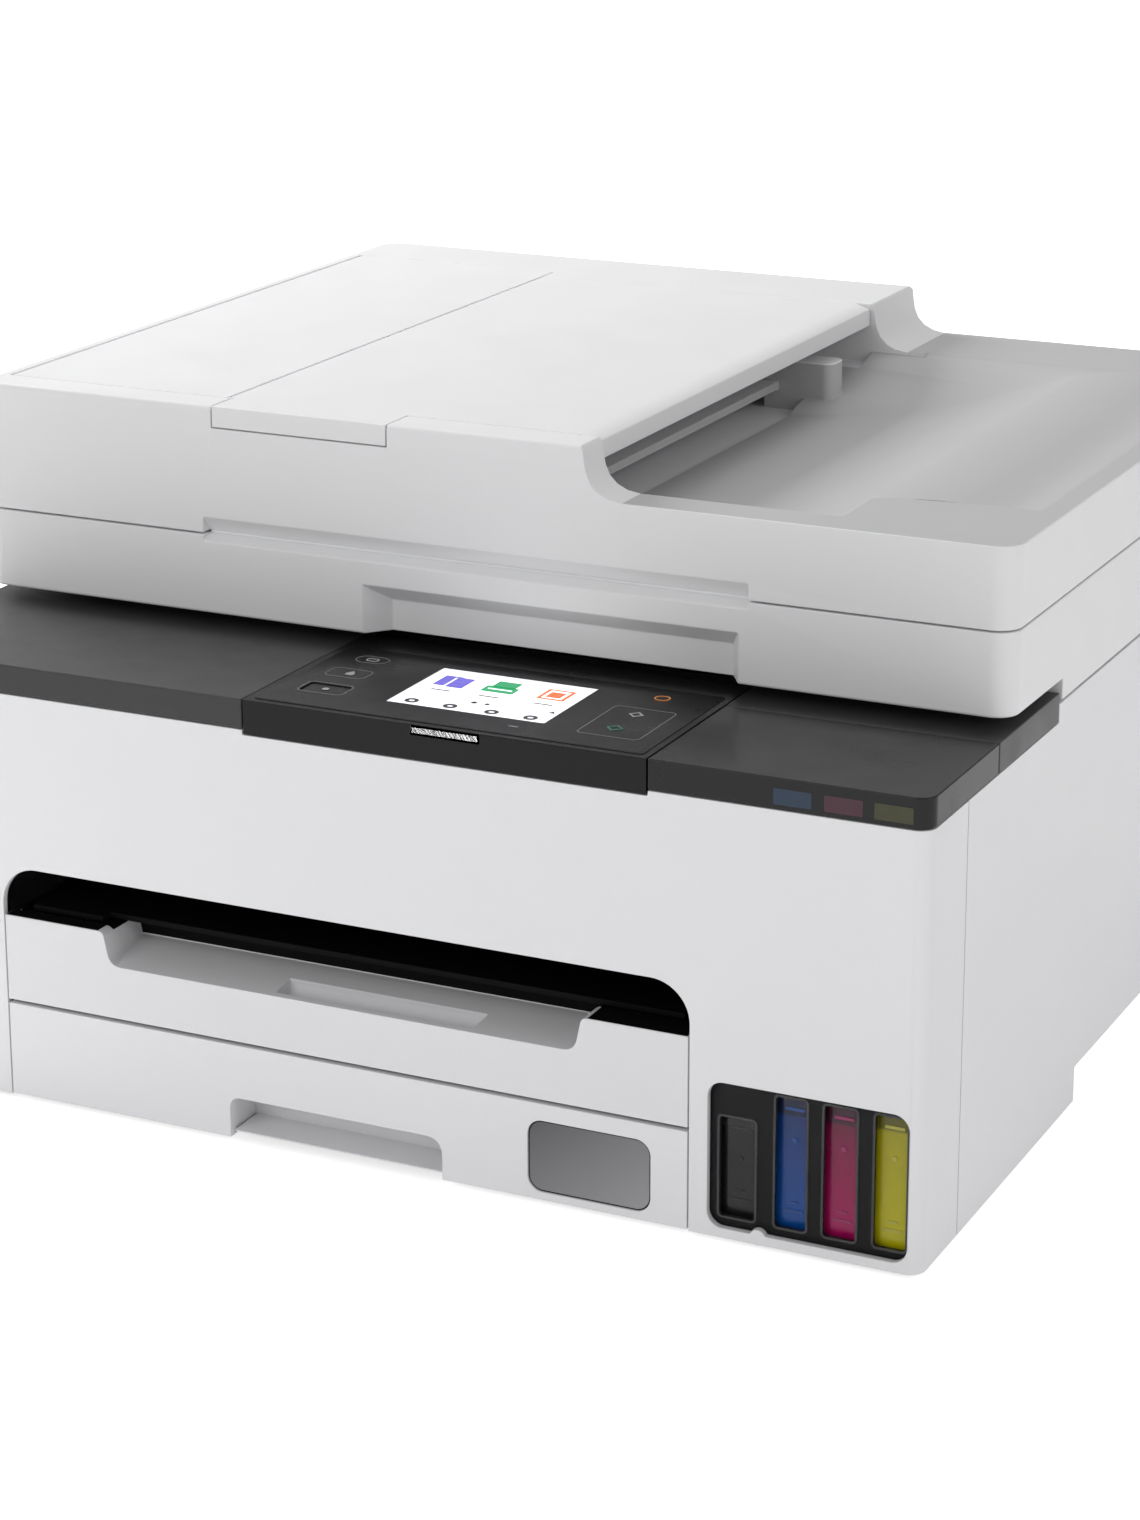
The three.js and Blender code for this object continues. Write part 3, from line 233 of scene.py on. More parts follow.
def ink(name, low_colour, high_colour, empty, level):
    """Ink behind a clear tank wall: colour grows darker from the bottom up to the level, smoky above it."""
    recipe = Recipe(name)
    shader = recipe.shader
    up = recipe.height()
    cloud = recipe.noise(220.0, detail=3.0)
    body = recipe.mixed(recipe.ranged(up, 0.006, level, 0.0, 1.0), low_colour, high_colour)
    body = recipe.mixed(recipe.ranged(cloud, 0.45, 0.75, 0.0, 0.10), body, shaded(low_colour, 1.25))
    body = recipe.mixed(recipe.ranged(up, level - 0.0006, level + 0.0004, 0.0, 1.0), body, empty)
    recipe.link(body, shader.inputs["Base Color"])
    recipe.link(recipe.ranged(cloud, 0.3, 0.7, 0.16, 0.26), shader.inputs["Roughness"])
    recipe.bump(recipe.noise(500.0), 0.04, 0.00005)
    shader.inputs["Coat Weight"].default_value = 0.3
    return recipe.material


SHELL = (0.79, 0.79, 0.805)
FINISH = {
    "shell": moulded("light_body_plastic", SHELL, 0.46),
    "upper": moulded("light_lid_plastic", (0.80, 0.80, 0.81), 0.44),
    # Painted shade: a darker copy of the lid plastic for the sunken output basin, standing in for the shade
    # that falls there.
    "basin": moulded("basin_painted_shade_plastic", (0.50, 0.50, 0.505), 0.5, grain=0.2, tint=0.03),
    "tray": moulded("light_tray_plastic", (0.76, 0.76, 0.775), 0.5),
    "guide": moulded("grey_guide_plastic", (0.42, 0.42, 0.44), 0.5),
    "strip": moulded("dark_cover_plastic", (0.030, 0.030, 0.031), 0.36, grain=0.2, wear=0.15, specular=0.45),
    "panel": moulded("dark_panel_plastic", (0.011, 0.011, 0.012), 0.30, grain=0.08, wear=0.12, specular=0.2),
    "smoke": moulded("smoky_cover_plastic", (0.012, 0.012, 0.013), 0.24, grain=0.05, wear=0.12, specular=0.3),
    # Near-black with little gloss: the black extension plate and seam lines, and painted shade inside the
    # front housing, on the output tray's inner floor and round the level window.
    "black_and_shade": moulded("black_gaps_and_painted_shade", (0.004, 0.004, 0.004), 0.6, grain=0.2, wear=0.02, specular=0.08),
    "frame": moulded("dark_frame_plastic", (0.030, 0.031, 0.034), 0.58, grain=0.25, wear=0.1, specular=0.3),
    "black": moulded("black_mask_plastic", (0.012, 0.012, 0.0125), 0.42, grain=0.1, wear=0.1, specular=0.2),
    "mark": moulded("pale_print", (0.42, 0.42, 0.43), 0.5, grain=0.0, wear=0.0),
    "outline": moulded("faint_print", (0.20, 0.20, 0.205), 0.5, grain=0.0, wear=0.0),
    "steel": metal("plated_steel", (0.62, 0.63, 0.65), 0.32, (0.02, 1.0, 1.0)),
    "rubber": moulded("black_rubber", (0.02, 0.02, 0.021), 0.85, grain=0.5, wear=0.2, specular=0.2),
    "board": moulded("circuit_board", (0.02, 0.12, 0.055), 0.5, grain=0.4, grain_size=0.002, tint=0.12),
    "glass": clear("platen_glass_clear", (0.55, 0.62, 0.60), 0.22, 0.03),
    "window": glass_with_painted_shade("level_window_painted_shade", (0.10, 0.10, 0.105), (0.36, 0.36, 0.37), 0.9),
    "pane": clear("smoky_ink_window", (0.004, 0.004, 0.005), 0.06, 0.05, specular=0.12),
    "pad": moulded("white_backing_pad", (0.86, 0.86, 0.85), 0.7, grain=0.4),
    "screen": lit("lit_screen", (0.86, 0.86, 0.90), 0.72),
    "tile": lit("lit_white_tile", (0.98, 0.98, 1.0), 0.95),
    "light": lit("lit_status_bar", (1.0, 1.0, 1.0), 3.4),
    "violet": lit("lit_violet", (0.16, 0.13, 0.62), 0.6, 0.15),
    "green": lit("lit_green", (0.02, 0.36, 0.14), 0.6, 0.15),
    "orange": lit("lit_orange", (0.80, 0.17, 0.05), 0.6, 0.15),
    "dark_dot": lit("lit_dark_symbol", (0.03, 0.03, 0.035), 0.3),
    "caption": lit("lit_caption", (0.22, 0.22, 0.26), 0.5),
    "lip": moulded("mask_lip_plastic", (0.05, 0.05, 0.052), 0.35, grain=0.05, wear=0.3),
    "mark_black": moulded("black_tank_mark", (0.035, 0.035, 0.036), 0.4, grain=0.0),
    "mark_cyan": moulded("blue_tank_mark", (0.035, 0.10, 0.34), 0.4, grain=0.0),
    "mark_magenta": moulded("magenta_tank_mark", (0.40, 0.05, 0.17), 0.4, grain=0.0),
    "mark_yellow": moulded("yellow_tank_mark", (0.58, 0.54, 0.09), 0.4, grain=0.0),
    "tab_cyan": moulded("blue_tab", (0.010, 0.028, 0.060), 0.4, grain=0.0),
    "tab_magenta": moulded("magenta_tab", (0.055, 0.012, 0.026), 0.4, grain=0.0),
    "tab_yellow": moulded("yellow_tab", (0.040, 0.040, 0.012), 0.4, grain=0.0),
    "teal": lit("lit_teal_mark", (0.01, 0.10, 0.06), 0.5),
    "amber": lit("lit_amber_mark", (0.42, 0.15, 0.02), 0.5),
    "ink_black": ink(
        "black_ink",
        low_colour=(0.010, 0.010, 0.010),
        high_colour=(0.006, 0.006, 0.006),
        empty=(0.020, 0.020, 0.020),
        level=0.0365,
    ),
    "ink_cyan": ink(
        "blue_ink",
        low_colour=(0.002, 0.090, 0.42),
        high_colour=(0.001, 0.030, 0.17),
        empty=(0.006, 0.014, 0.055),
        level=0.0440,
    ),
    "ink_magenta": ink(
        "magenta_ink",
        low_colour=(0.52, 0.002, 0.130),
        high_colour=(0.17, 0.001, 0.040),
        empty=(0.060, 0.006, 0.024),
        level=0.0440,
    ),
    "ink_yellow": ink(
        "yellow_ink",
        low_colour=(0.66, 0.60, 0.002),
        high_colour=(0.44, 0.39, 0.002),
        empty=(0.15, 0.14, 0.006),
        level=0.0450,
    ),
}


# ---------------------------------------------------------------- modelling helpers
def take(piece):
    """Selects one piece alone and makes it the active one."""
    bpy.ops.object.select_all(action="DESELECT")
    piece.select_set(True)
    bpy.context.view_layer.objects.active = piece


def editing(piece, kind):
    """Opens a piece in edit mode with nothing selected."""
    take(piece)
    bpy.ops.object.mode_set(mode="EDIT")
    bpy.ops.mesh.select_mode(type=kind)
    bpy.ops.mesh.select_all(action="DESELECT")


def done():
    """Goes back to object mode."""
    bpy.ops.object.mode_set(mode="OBJECT")


def select_faces(piece, test):
    """Opens a piece with the faces chosen by test(centre, normal) selected."""
    editing(piece, "FACE")
    done()
    for face in piece.data.polygons:
        face.select = test(face.center / MM, face.normal)
    bpy.ops.object.mode_set(mode="EDIT")


def select_edges(piece, test):
    """Opens a piece with the edges chosen by test(first end, second end) selected."""
    editing(piece, "EDGE")
    done()
    points = [vertex.co / MM for vertex in piece.data.vertices]
    for edge in piece.data.edges:
        first, second = edge.vertices
        edge.select = test(points[first], points[second])
    bpy.ops.object.mode_set(mode="EDIT")


def block(name, x, y, z):
    """A box between the pairs x, y and z, to be shaped further."""
    bpy.ops.object.select_all(action="DESELECT")
    x = (x[0] + CENTRING, x[1] + CENTRING)
    spans = [(low * MM, high * MM) for low, high in (x, y, z)]
    middle = [(low + high) / 2 for low, high in spans]
    bpy.ops.mesh.primitive_cube_add(size=1, location=middle, scale=[high - low for low, high in spans])
    piece = bpy.context.object
    piece.name = name
    bpy.ops.object.transform_apply(location=True, rotation=True, scale=True)
    return piece


def wheel(name, centre, radius, depth, axis="Z", sides=32):
    """A disc or rod about one axis, to be shaped further."""
    bpy.ops.object.select_all(action="DESELECT")
    turn = {"X": (0, math.pi / 2, 0), "Y": (math.pi / 2, 0, 0), "Z": (0, 0, 0)}[axis]
    place = (Vector(centre) + Vector((CENTRING, 0, 0))) * MM
    bpy.ops.mesh.primitive_cylinder_add(
        vertices=sides, radius=radius * MM, depth=depth * MM, location=place, rotation=turn
    )
    piece = bpy.context.object
    piece.name = name
    bpy.ops.object.transform_apply(location=True, rotation=True, scale=True)
    return piece


def modified(piece, kind, **settings):
    """Adds one modifier and applies it."""
    take(piece)
    modifier = piece.modifiers.new(kind.lower(), kind)
    for key, value in settings.items():
        setattr(modifier, key, value)
    bpy.ops.object.modifier_apply(modifier=modifier.name)
    return piece


def softened(piece, width, segments=2, sharp=30):
    """Rounds every sharp edge and keeps the broad faces shading flat."""
    modified(
        piece,
        "BEVEL",
        width=width * MM,
        segments=segments,
        limit_method="ANGLE",
        angle_limit=math.radians(sharp),
        use_clamp_overlap=False,
        miter_outer="MITER_ARC",
    )
    bpy.ops.object.shade_smooth_by_angle(angle=math.radians(40))
    modified(piece, "WEIGHTED_NORMAL", keep_sharp=True)
    return piece


def finished(piece, body, material):
    """Gives a piece its finish and its body."""
    piece.data.materials.clear()
    piece.data.materials.append(FINISH[material])
    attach(piece, body)
    return piece


def cast(node, material, width=0.5, segments=2, edges=None):
    """A finished copy of a CAD piece: merged, its chosen edges rounded more, all others a little."""
    source = frame["nodes"][node]
    piece = bpy.data.objects.new("moulded_" + node, source.data.copy())
    bpy.context.scene.collection.objects.link(piece)
    editing(piece, "VERT")
    bpy.ops.mesh.customdata_custom_splitnormals_clear()
    bpy.ops.mesh.select_all(action="SELECT")
    bpy.ops.mesh.remove_doubles(threshold=0.000002)
    bpy.ops.mesh.dissolve_limited(angle_limit=math.radians(0.6))
    done()
    for radius, test in edges or []:
        select_edges(piece, test)
        bpy.ops.mesh.bevel(offset=radius * MM, segments=4, affect="EDGES", clamp_overlap=False)
        done()
    softened(piece, width, segments)
    finished(piece, BODY_OF[node], material)
    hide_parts(node)
    return piece


def painted(piece, material, test):
    """Gives the faces chosen by test(centre, normal) a second finish."""
    piece.data.materials.append(FINISH[material])
    for face in piece.data.polygons:
        if test(face.center / MM, face.normal):
            face.material_index = len(piece.data.materials) - 1
    return piece


def sheet_of(name, x, y, z, corner, rim=0.1, upright=False):
    """A thin plate with rounded corners; lying flat, or standing with its face to the front."""
    piece = block(name, x, y, z)
    side = 1 if upright else 2

    def along_thickness(a, b):
        rise = abs(a[side] - b[side])
        return rise > 0.02 and (a - b).length < rise + 1e-4

    select_edges(piece, along_thickness)
    bpy.ops.mesh.bevel(offset=corner * MM, segments=6, affect="EDGES")
    done()
    if rim:
        softened(piece, rim, 2, 50)
    return piece


def framed(name, x, y, z, corner, line, upright=False):
    """A rounded rectangular outline of one line's width."""
    piece = sheet_of(name, x, y, z, corner, rim=0, upright=upright)
    side = 1 if upright else 2
    select_faces(piece, lambda centre, normal: abs(normal[side]) > 0.9)
    bpy.ops.mesh.inset(thickness=line * MM)
    bpy.ops.mesh.bridge_edge_loops()
    bpy.ops.mesh.select_all(action="SELECT")
    bpy.ops.mesh.normals_make_consistent(inside=False)
    done()
    return piece


def cut(piece, *tools):
    """Cuts the tools out of a piece and removes them."""
    for tool in tools:
        modified(piece, "BOOLEAN", operation="DIFFERENCE", object=tool, solver="EXACT")
        bpy.data.objects.remove(tool)
    return piece


# ---------------------------------------------------------------- body shell
def on_outline(point, front, back):
    """Whether a point lies on the rounded outline that the units share, in plan."""
    x = point.x - CENTRING
    dx = max(x - (RIGHT_SIDE - SIDE_RADIUS), (LEFT_SIDE + SIDE_RADIUS) - x)
    dy = max(point.y - (back - SIDE_RADIUS), (front + SIDE_RADIUS) - point.y)
    if dx > 0 and dy > 0:
        return abs(SIDE_RADIUS - math.hypot(dx, dy)) < 0.15
    return min(RIGHT_SIDE - x, x - LEFT_SIDE, back - point.y, point.y - front) < 0.05


def rim(height, front, back):
    """Test for the edges of an outline's rim at one height."""
    return lambda a, b: all(abs(p.z - height) < 0.05 and on_outline(p, front, back) for p in (a, b))


def body_shell():
    """Walls, covers, ports and feet of the body."""
    front = cast("front_housing", "shell", 0.35, 2)
    # Painted shade: the housing's inner faces behind the front wall that face back get the near-black finish.
    painted(front, "black_and_shade", lambda c, n: c.y > FRONT + FRONT_WALL and n.y > 0.5)
    for node in ("side_cover_left", "side_cover_right", "rear_housing"):
        cast(node, "shell", 0.3, 2)
    cast("rear_cover", "shell", 0.5, 2)
    cast("left_deck_cover", "strip", 0.5, 3)
    cast("ink_cover", "smoke", 0.5, 3)
    cast("side_strip_right", "strip", 0.4, 3)
    cast("base_frame", "frame", 0.3, 1)
    cast("deck", "frame", 0.3, 1)
    cast("power_inlet", "strip", 0.3)
    cast("lan_port", "strip", 0.3)
    cast("usb_port", "steel", 0.2)
    for corner in ("front_left", "front_right", "rear_left", "rear_right"):
        cast("foot_" + corner, "rubber", 0.5, 3)


def printed(name, piece, material="outline"):
    """A mark printed on the operation panel."""
    return finished(piece, "control_panel", material)


def panel_face():
    """The panel's smooth face sheet, open over the screen and the power key."""
    low, high = STRIP_TOP - 1, STRIP_TOP + 1
    thickness = (STRIP_TOP + 0.02, STRIP_TOP + 0.22)
    sheet = sheet_of("panel_face_sheet", (-42.6, 90.6), (-187.4, -124.6), thickness, 1.2, 0.08)
    window = sheet_of("screen_cut", (-3.9, 50.9), (-172.7, -133.1), (low, high), 0.8, 0)
    key = sheet_of("key_cut", (-34.3, -19.7), (-173.8, -164.7), (low, high), 1.2, 0)
    printed("panel_face_sheet", cut(sheet, window, key), "panel")


def key_outlines():
    """Fine outlines round the keys."""
    height = (PRINT_BOTTOM, PRINT_TOP)
    keys = {
        "power_key_outline": ((-35.2, -18.8), (-174.6, -163.9), 2.4),
        "home_key_outline": ((-35.4, -21.0), (-156.6, -147.2), 2.4),
        "back_key_outline": ((-34.2, -22.6), (-139.4, -132.0), 3.6),
        "start_key_outline": ((63.0, 84.0), (-176.4, -146.4), 2.0),
    }
    for name, (x, y, corner) in keys.items():
        printed(name, framed(name, x, y, height, corner, LINE))


def left_key_symbols():
    """Power, home and back symbols."""
    power = wheel("power_symbol", (-27, -169.2, STRIP_TOP + 0.04), 1.1, 0.08, sides=24)
    printed("power_symbol", softened(power, 0.02, 1), "mark")
    roof = wheel("home_symbol", (-27.6, -151.2, PRINT_TOP - 0.02), 1.9, 0.05, sides=3)
    printed("home_symbol", softened(roof, 0.02, 1), "mark")
    thin = (PRINT_TOP - 0.03, PRINT_TOP)
    walls = sheet_of("home_symbol_walls", (-29.0, -26.2), (-153.6, -151.8), thin, 0.2, 0)
    printed("home_symbol_walls", walls, "mark")
    arrow = framed("back_symbol", (-30.6, -26.2), (-137.2, -134.2), (PRINT_BOTTOM, PRINT_TOP), 1.2, 0.5)
    printed("back_symbol", arrow, "mark")


def right_key_symbols():
    """Stop ring, two start diamonds and the sensor mark."""
    stop = framed("stop_key_ring", (70.4, 75.6), (-136.4, -131.6), (PRINT_BOTTOM, PRINT_TOP), 2.3, 0.5)
    printed("stop_key_ring", stop, "amber")
    diamonds = {
        "start_key_symbol": (72.7, -152.9, 2.6, "mark"),
        "colour_key_symbol": (72.4, -167.9, 2.9, "teal"),
    }
    for name, (x, y, size, material) in diamonds.items():
        diamond = wheel(name, (x, y, PRINT_TOP - 0.02), size, 0.05, sides=4)
        select_faces(diamond, lambda c, n: abs(n.z) > 0.9)
        bpy.ops.mesh.inset(thickness=0.7 * MM)
        bpy.ops.mesh.bridge_edge_loops()
        done()
        printed(name, diamond, material)
    dot = sheet_of("sensor_mark", (42.2, 45.6), (-180.2, -179.0), (PRINT_TOP - 0.03, PRINT_TOP), 0.5, 0)
    printed("sensor_mark", dot)


def operation_panel():
    """The tilting panel with its screen, light bar, power key and printed keys."""
    cast("operation_panel", "panel", 0.25, 2)
    cast("touch_screen", "screen", 0.15, 2)
    cast("status_light_bar", "light", 0.25, 2)
    cast("power_button", "panel", 0.3, 2)
    panel_face()
    key_outlines()
    left_key_symbols()
    right_key_symbols()


def screen_content():
    """Three tiles with plain symbols and a row of small round symbols."""
    def shown(piece, material):
        return finished(piece, "control_panel", material)

    def bar(name, x, y, layer, material, corner=0.3):
        low = STRIP_TOP + SCREEN_LIFT + SCREEN_LAYER * layer
        return shown(sheet_of(name, x, y, (low, low + SCREEN_LAYER), corner, 0), material)

    columns = {"left": 6.2, "middle": 23.0, "right": 41.6}
    for name, x in columns.items():
        bar("screen_tile_" + name, (x - 8.0, x + 8.0), (-158.4, -135.4), 0, "tile", 1.0)
    x = columns["left"]
    bar("copy_symbol_back_page", (x - 5.4, x + 1.0), (-150.4, -140.0), 1, "violet")
    bar("copy_symbol_gap", (x - 1.4, x + 4.6), (-151.6, -141.4), 2, "tile")
    bar("copy_symbol_front_page", (x - 0.7, x + 5.2), (-151.2, -140.8), 3, "violet")
    x = columns["middle"]
    bar("scan_symbol_sheet", (x - 4.0, x + 4.0), (-145.0, -138.6), 1, "green")
    bar("scan_symbol_base", (x - 5.6, x + 5.6), (-150.0, -144.0), 1, "green", 0.8)
    bar("scan_symbol_light", (x - 4.2, x + 4.2), (-147.4, -146.4), 2, "tile", 0.2)
    x = columns["right"]
    bar("print_symbol_page", (x - 4.8, x + 4.6), (-149.8, -139.4), 1, "orange")
    bar("print_symbol_sheet", (x - 3.6, x + 3.4), (-148.6, -140.6), 2, "tile")
    bar("print_symbol_picture", (x - 2.6, x + 2.4), (-147.6, -142.2), 3, "orange", 0.6)
    for name, x in columns.items():
        bar("tile_caption_" + name, (x - 3.4, x + 3.4), (-155.4, -154.3), 1, "caption", 0.3)
    ring_height = (STRIP_TOP + SCREEN_LIFT, STRIP_TOP + 0.08)
    for number, (x, y) in enumerate(((3.1, -168.4), (16.6, -168.6), (31, -168.7), (44.4, -168.8))):
        name = f"lower_symbol_{number}"
        ring = framed(name, (x - 2.3, x + 2.3), (y - 2.1, y + 2.1), ring_height, 2.05, 1.3)
        shown(ring, "dark_dot")
    middle = STRIP_TOP + 0.035
    for number, x in enumerate((21.7, 26.2)):
        radius = 1.0 - 0.2 * number
        dot = wheel(f"page_dot_{number}", (x, -162.2, middle), radius, SCREEN_LAYER, sides=20)
        shown(softened(dot, 0.01, 1), "dark_dot")
    arrow = wheel("next_symbol", (48.2, -161.4, middle), 1.3, SCREEN_LAYER, sides=3)
    shown(softened(arrow, 0.01, 1), "dark_dot")


# Left, right, bottom and top of each tank's slot in the mask.
TANK_SLOTS = {
    "black": (116.6, 128.2, 8.4, 41.0),
    "cyan": (134.8, 144.8, 8.2, 50.6),
    "magenta": (150.4, 160.8, 8.2, 50.6),
    "yellow": (166.6, 176.8, 8.2, 50.6),
}


def window_mask():
    """The dark mask behind the ink window, with a slot for each tank."""
    mask = sheet_of("ink_window_mask", (113.0, 178.7), MASK_Y, (4.6, 53.4), 5.2, 0.15, upright=True)
    openings = [
        sheet_of("slot_cut", (left, right), (-190, -184), (low, high), 1.2, 0, upright=True)
        for left, right, low, high in TANK_SLOTS.values()
    ]
    finished(cut(mask, *openings), "chassis", "black")


def tank_marks(colour, left, right, low, high):
    """The slot's lip and the raised level marks of one tank."""
    x = (left - LIP_WIDTH, right + LIP_WIDTH)
    z = (low - LIP_WIDTH, high + LIP_WIDTH)
    lip = framed("slot_lip_" + colour, x, LIP_Y, z, 1.7, LIP_WIDTH, upright=True)
    finished(lip, "chassis", "lip")
    middle = (left + right) / 2
    top = high - 4.5
    marks = {
        "full_mark_": ((middle - 3.2, middle + 3.2), (top - 0.5, top + 0.5)),
        "low_mark_": ((middle - 1.6, middle + 1.6), (low + 7.0, low + 7.8)),
        "empty_mark_": ((middle - 3.0, middle + 3.0), (low + 4.2, low + 5.2)),
    }
    tint = "mark_" + colour
    for name, (x, z) in marks.items():
        mark = sheet_of(name + colour, x, MARK_Y, z, 0.3, 0.04, upright=True)
        finished(mark, "chassis", tint)
    dot = wheel("sight_dot_" + colour, (middle, -184.6, high - 14.5), 0.9, 0.3, axis="Y", sides=24)
    finished(softened(dot, 0.06, 1), "chassis", tint)


def colour_tabs():
    """Dim colour patches on the front edge of the ink cover, one over each coloured tank."""
    middles = {"cyan": 139.5, "magenta": 155.5, "yellow": 171.0}
    for colour, x in middles.items():
        name = "colour_tab_" + colour
        strip = sheet_of(name, (x - 6, x + 6), (-190.02, -189.8), (143.2, 148.2), 0.4, 0.05, True)
        finished(strip, "ink_lid", "tab_" + colour)


def ink_bay():
    """Tanks and caps, the window over them and the marks seen through it."""
    for colour in TANK_SLOTS:
        cast("ink_tank_" + colour, "ink_" + colour, 0.6, 3)
        cast("tank_cap_" + colour, "ink_" + colour, 0.5, 3)
    cast("ink_window", "pane", 0.2, 2)
    window_mask()
    for colour, slot in TANK_SLOTS.items():
        tank_marks(colour, *slot)
    colour_tabs()


def paper_path():
    """Cassette with its guides, and the output tray above it."""
    cast("cassette_tray", "frame", 0.3, 2)
    cast("cassette_front", "shell", 0.35, 2)
    sill = sheet_of("grip_sill", (-53.2, 22.4), (-188.6, -173.6), (4.1, 4.7), 1.0, 0.15)
    finished(sill, "cassette", "shell")
    # Painted shade: the level window is dark at the top left and lighter at the bottom right, for the shade
    # in the recess behind it.
    cast("level_window", "window", 0.3, 2)
    # Painted shade: a near-black rim round the level window stands for the shade along the edges of its
    # recess.
    shade_rim = framed("level_window_shade_rim", (53.0, 94.7), (-189.2, -187.9), (5.2, 29.0), 5.0, 0.7, upright=True)
    finished(shade_rim, "cassette", "black_and_shade")
    for guide in ("paper_guide_left", "paper_guide_right", "paper_length_guide"):
        cast(guide, "guide", 0.3, 2)
    cast("lift_plate", "steel", 0.2, 2)
    tray = cast("output_tray", "tray", 0.35, 2)
    # Painted shade: the tray's inner floor behind the notch gets the near-black finish, dark as the shade
    # deep in the slot.
    painted(tray, "black_and_shade", lambda c, n: c.y > TRAY_FLOOR_FRONT and c.z > TRAY_FLOOR_BOTTOM)
    cast("output_extension", "black_and_shade", 0.4, 2)


def mechanism():
    """The moving parts and boards inside the body."""
    finishes = {
        "carriage_rail": ("steel", 0.3),
        "carriage": ("frame", 0.8),
        "drive_belt": ("rubber", 0.15),
        "motor_pulley": ("steel", 0.2),
        "idler_pulley": ("steel", 0.2),
        "platen": ("frame", 0.3),
        "feed_roller": ("rubber", 0.3),
        "exit_roller": ("rubber", 0.3),
        "purge_unit": ("frame", 0.8),
        "main_board": ("board", 0.1),
        "power_supply": ("frame", 0.8),
    }
    for node, (material, width) in finishes.items():
        cast(node, material, width)


def in_basin(centre, normal):
    """Whether a face belongs to the floor and the walls of the output basin."""
    place = (centre.x - CENTRING, centre.y, centre.z)
    inside = all(low < value < high for value, (low, high) in zip(place, (BASIN_X, BASIN_Y, BASIN_Z)))
    return inside and normal.z > -0.2


def upper_units():
    """The scanner, the lid over it and the document feeder in the lid."""
    cast("scanner_base", "upper", 0.45, 3, [(1.0, rim(SCANNER_BOTTOM, UPPER_FRONT, SCANNER_BACK))])
    cast("platen_glass", "glass", 0.2)
    cast("scan_carriage", "frame", 0.5, 3)
    cover = cast("document_cover", "upper", 0.4, 3, [(1.6, rim(LID_TOP, UPPER_FRONT, LID_BACK))])
    # Painted shade: the basin's floor and walls take the darker basin finish.
    painted(cover, "basin", in_basin)
    cast("pressure_plate", "pad", 0.4)
    cast("document_tray", "upper", 0.35, 2)
    cast("feeder_cover", "upper", 0.35, 2)
    cast("document_guide_front", "guide", 0.3)
    cast("document_guide_rear", "guide", 0.3)
    cast("document_pick_roller", "rubber", 0.4)
    filler = sheet_of("groove_filler", (-99, 95.5), (-117.2, -115.6), (182.0, 182.9), 0.3, 0.1)
    finished(filler, "scanner_unit", "upper")
    for name, y in (("tray_seam_front", (-121.0, -109.6)), ("tray_seam_rear", (131.6, 146.4))):
        seam = sheet_of(name, (39.0, 40.0), y, (218.9, 219.5), 0.2, 0)
        finished(seam, "lid", "black_and_shade")


body_shell()
operation_panel()
screen_content()
ink_bay()
paper_path()
mechanism()
upper_units()


# ---------------------------------------------------------------- floor, light and camera
FLOOR_SIZE = 8
FLOOR_DROP = 0.0002
FLOOR_GLOW = 0.24
FLOOR_GLOW_SEEN = 0.7
ROOM_LIGHT = 0.42
ROOM_LIGHT_SEEN = 1.1

# Place, the point it looks at, size and power of each lamp.
LAMPS = {
    "left_softbox": ((-1.15, 0.3, 0.78), (0, 0, 0.2), 0.55, 15.5),
    "top_softbox": ((-0.2, 0.4, 1.9), (0, 0, 0.2), 1.2, 6),
    "front_softbox": ((-0.6, -1.8, 0.95), (0, 0, 0.15), 1.2, 8),
    "right_softbox": ((1.5, -0.3, 0.7), (0, 0, 0.15), 1.0, 3.8),
}

CAMERA_PLACE = (0.5211 + CENTRING * MM, -1.1336, 0.4915)
CAMERA_AIM = (-0.4164, 0.8673, -0.2728)
CAMERA_ROLL = -0.13
CAMERA_LENS = 87.37
CAMERA_SENSOR = 36
CAMERA_SHIFT = -0.1


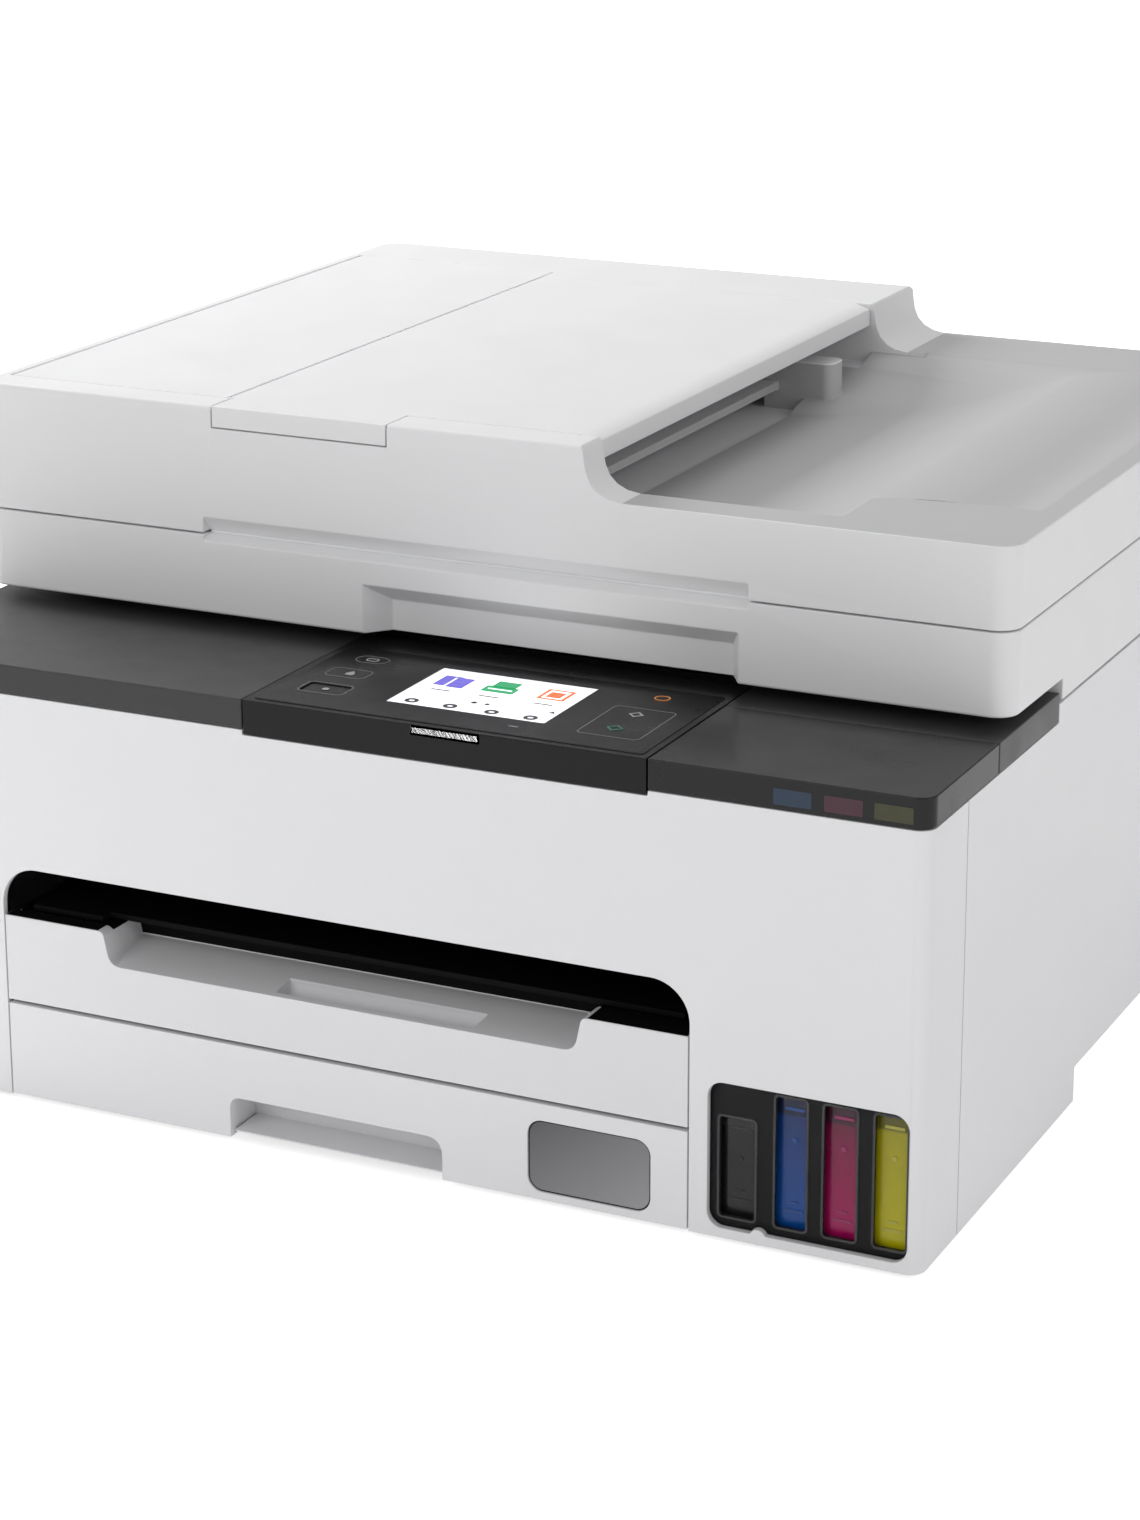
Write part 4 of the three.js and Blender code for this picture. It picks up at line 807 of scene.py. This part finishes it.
def floor_plane():
    """A pale floor that glows a little, so that shadows on it stay soft."""
    bpy.ops.object.select_all(action="DESELECT")
    bpy.ops.mesh.primitive_plane_add(size=FLOOR_SIZE, location=(0, 0, -FLOOR_DROP))
    floor = bpy.context.object
    floor.name = "floor"
    recipe = Recipe("pale_floor")
    shader = recipe.shader
    cloud = recipe.noise(2.0, detail=3.0)
    recipe.link(recipe.mixed(cloud, (0.90, 0.90, 0.90), (0.92, 0.92, 0.92)), shader.inputs["Base Color"])
    shader.inputs["Roughness"].default_value = 0.9
    shader.inputs["Emission Color"].default_value = (1, 1, 1, 1)
    seen_directly = recipe.node("ShaderNodeLightPath").outputs["Is Camera Ray"]
    glow = recipe.ranged(seen_directly, 0.0, 1.0, FLOOR_GLOW, FLOOR_GLOW_SEEN)
    recipe.link(glow, shader.inputs["Emission Strength"])
    floor.data.materials.append(recipe.material)


def room():
    """An even white room, brighter where it is seen directly."""
    world = bpy.data.worlds.new("studio_room")
    bpy.context.scene.world = world
    world.use_nodes = True
    nodes = world.node_tree.nodes
    links = world.node_tree.links
    background = nodes["Background"]
    background.inputs["Color"].default_value = (1, 1, 1, 1)
    background.inputs["Strength"].default_value = ROOM_LIGHT
    seen = nodes.new("ShaderNodeBackground")
    seen.inputs["Strength"].default_value = ROOM_LIGHT_SEEN
    choose = nodes.new("ShaderNodeMixShader")
    links.new(nodes.new("ShaderNodeLightPath").outputs["Is Camera Ray"], choose.inputs[0])
    links.new(background.outputs[0], choose.inputs[1])
    links.new(seen.outputs[0], choose.inputs[2])
    links.new(choose.outputs[0], nodes["World Output"].inputs["Surface"])


def softboxes():
    """Square area lamps, each turned to its target."""
    for name, (place, target, size, power) in LAMPS.items():
        light = bpy.data.lights.new(name, "AREA")
        light.size = size
        light.energy = power
        lamp = bpy.data.objects.new(name, light)
        lamp.location = place
        lamp.rotation_euler = (Vector(target) - Vector(place)).to_track_quat("-Z", "Y").to_euler()
        bpy.context.scene.collection.objects.link(lamp)


def camera_stand():
    """A camera in front, to the right and above."""
    lens = bpy.data.cameras.new("camera")
    camera = bpy.data.objects.new("camera", lens)
    bpy.context.scene.collection.objects.link(camera)
    roll = Matrix.Rotation(math.radians(CAMERA_ROLL), 3, "Z")
    turn = Vector(CAMERA_AIM).to_track_quat("-Z", "Y").to_matrix() @ roll
    camera.matrix_world = Matrix.Translation(CAMERA_PLACE) @ turn.to_4x4()
    lens.lens = CAMERA_LENS
    lens.sensor_width = CAMERA_SENSOR
    lens.shift_y = CAMERA_SHIFT
    bpy.context.scene.camera = camera
    bpy.context.scene.view_settings.view_transform = "Standard"


floor_plane()
room()
softboxes()
camera_stand()
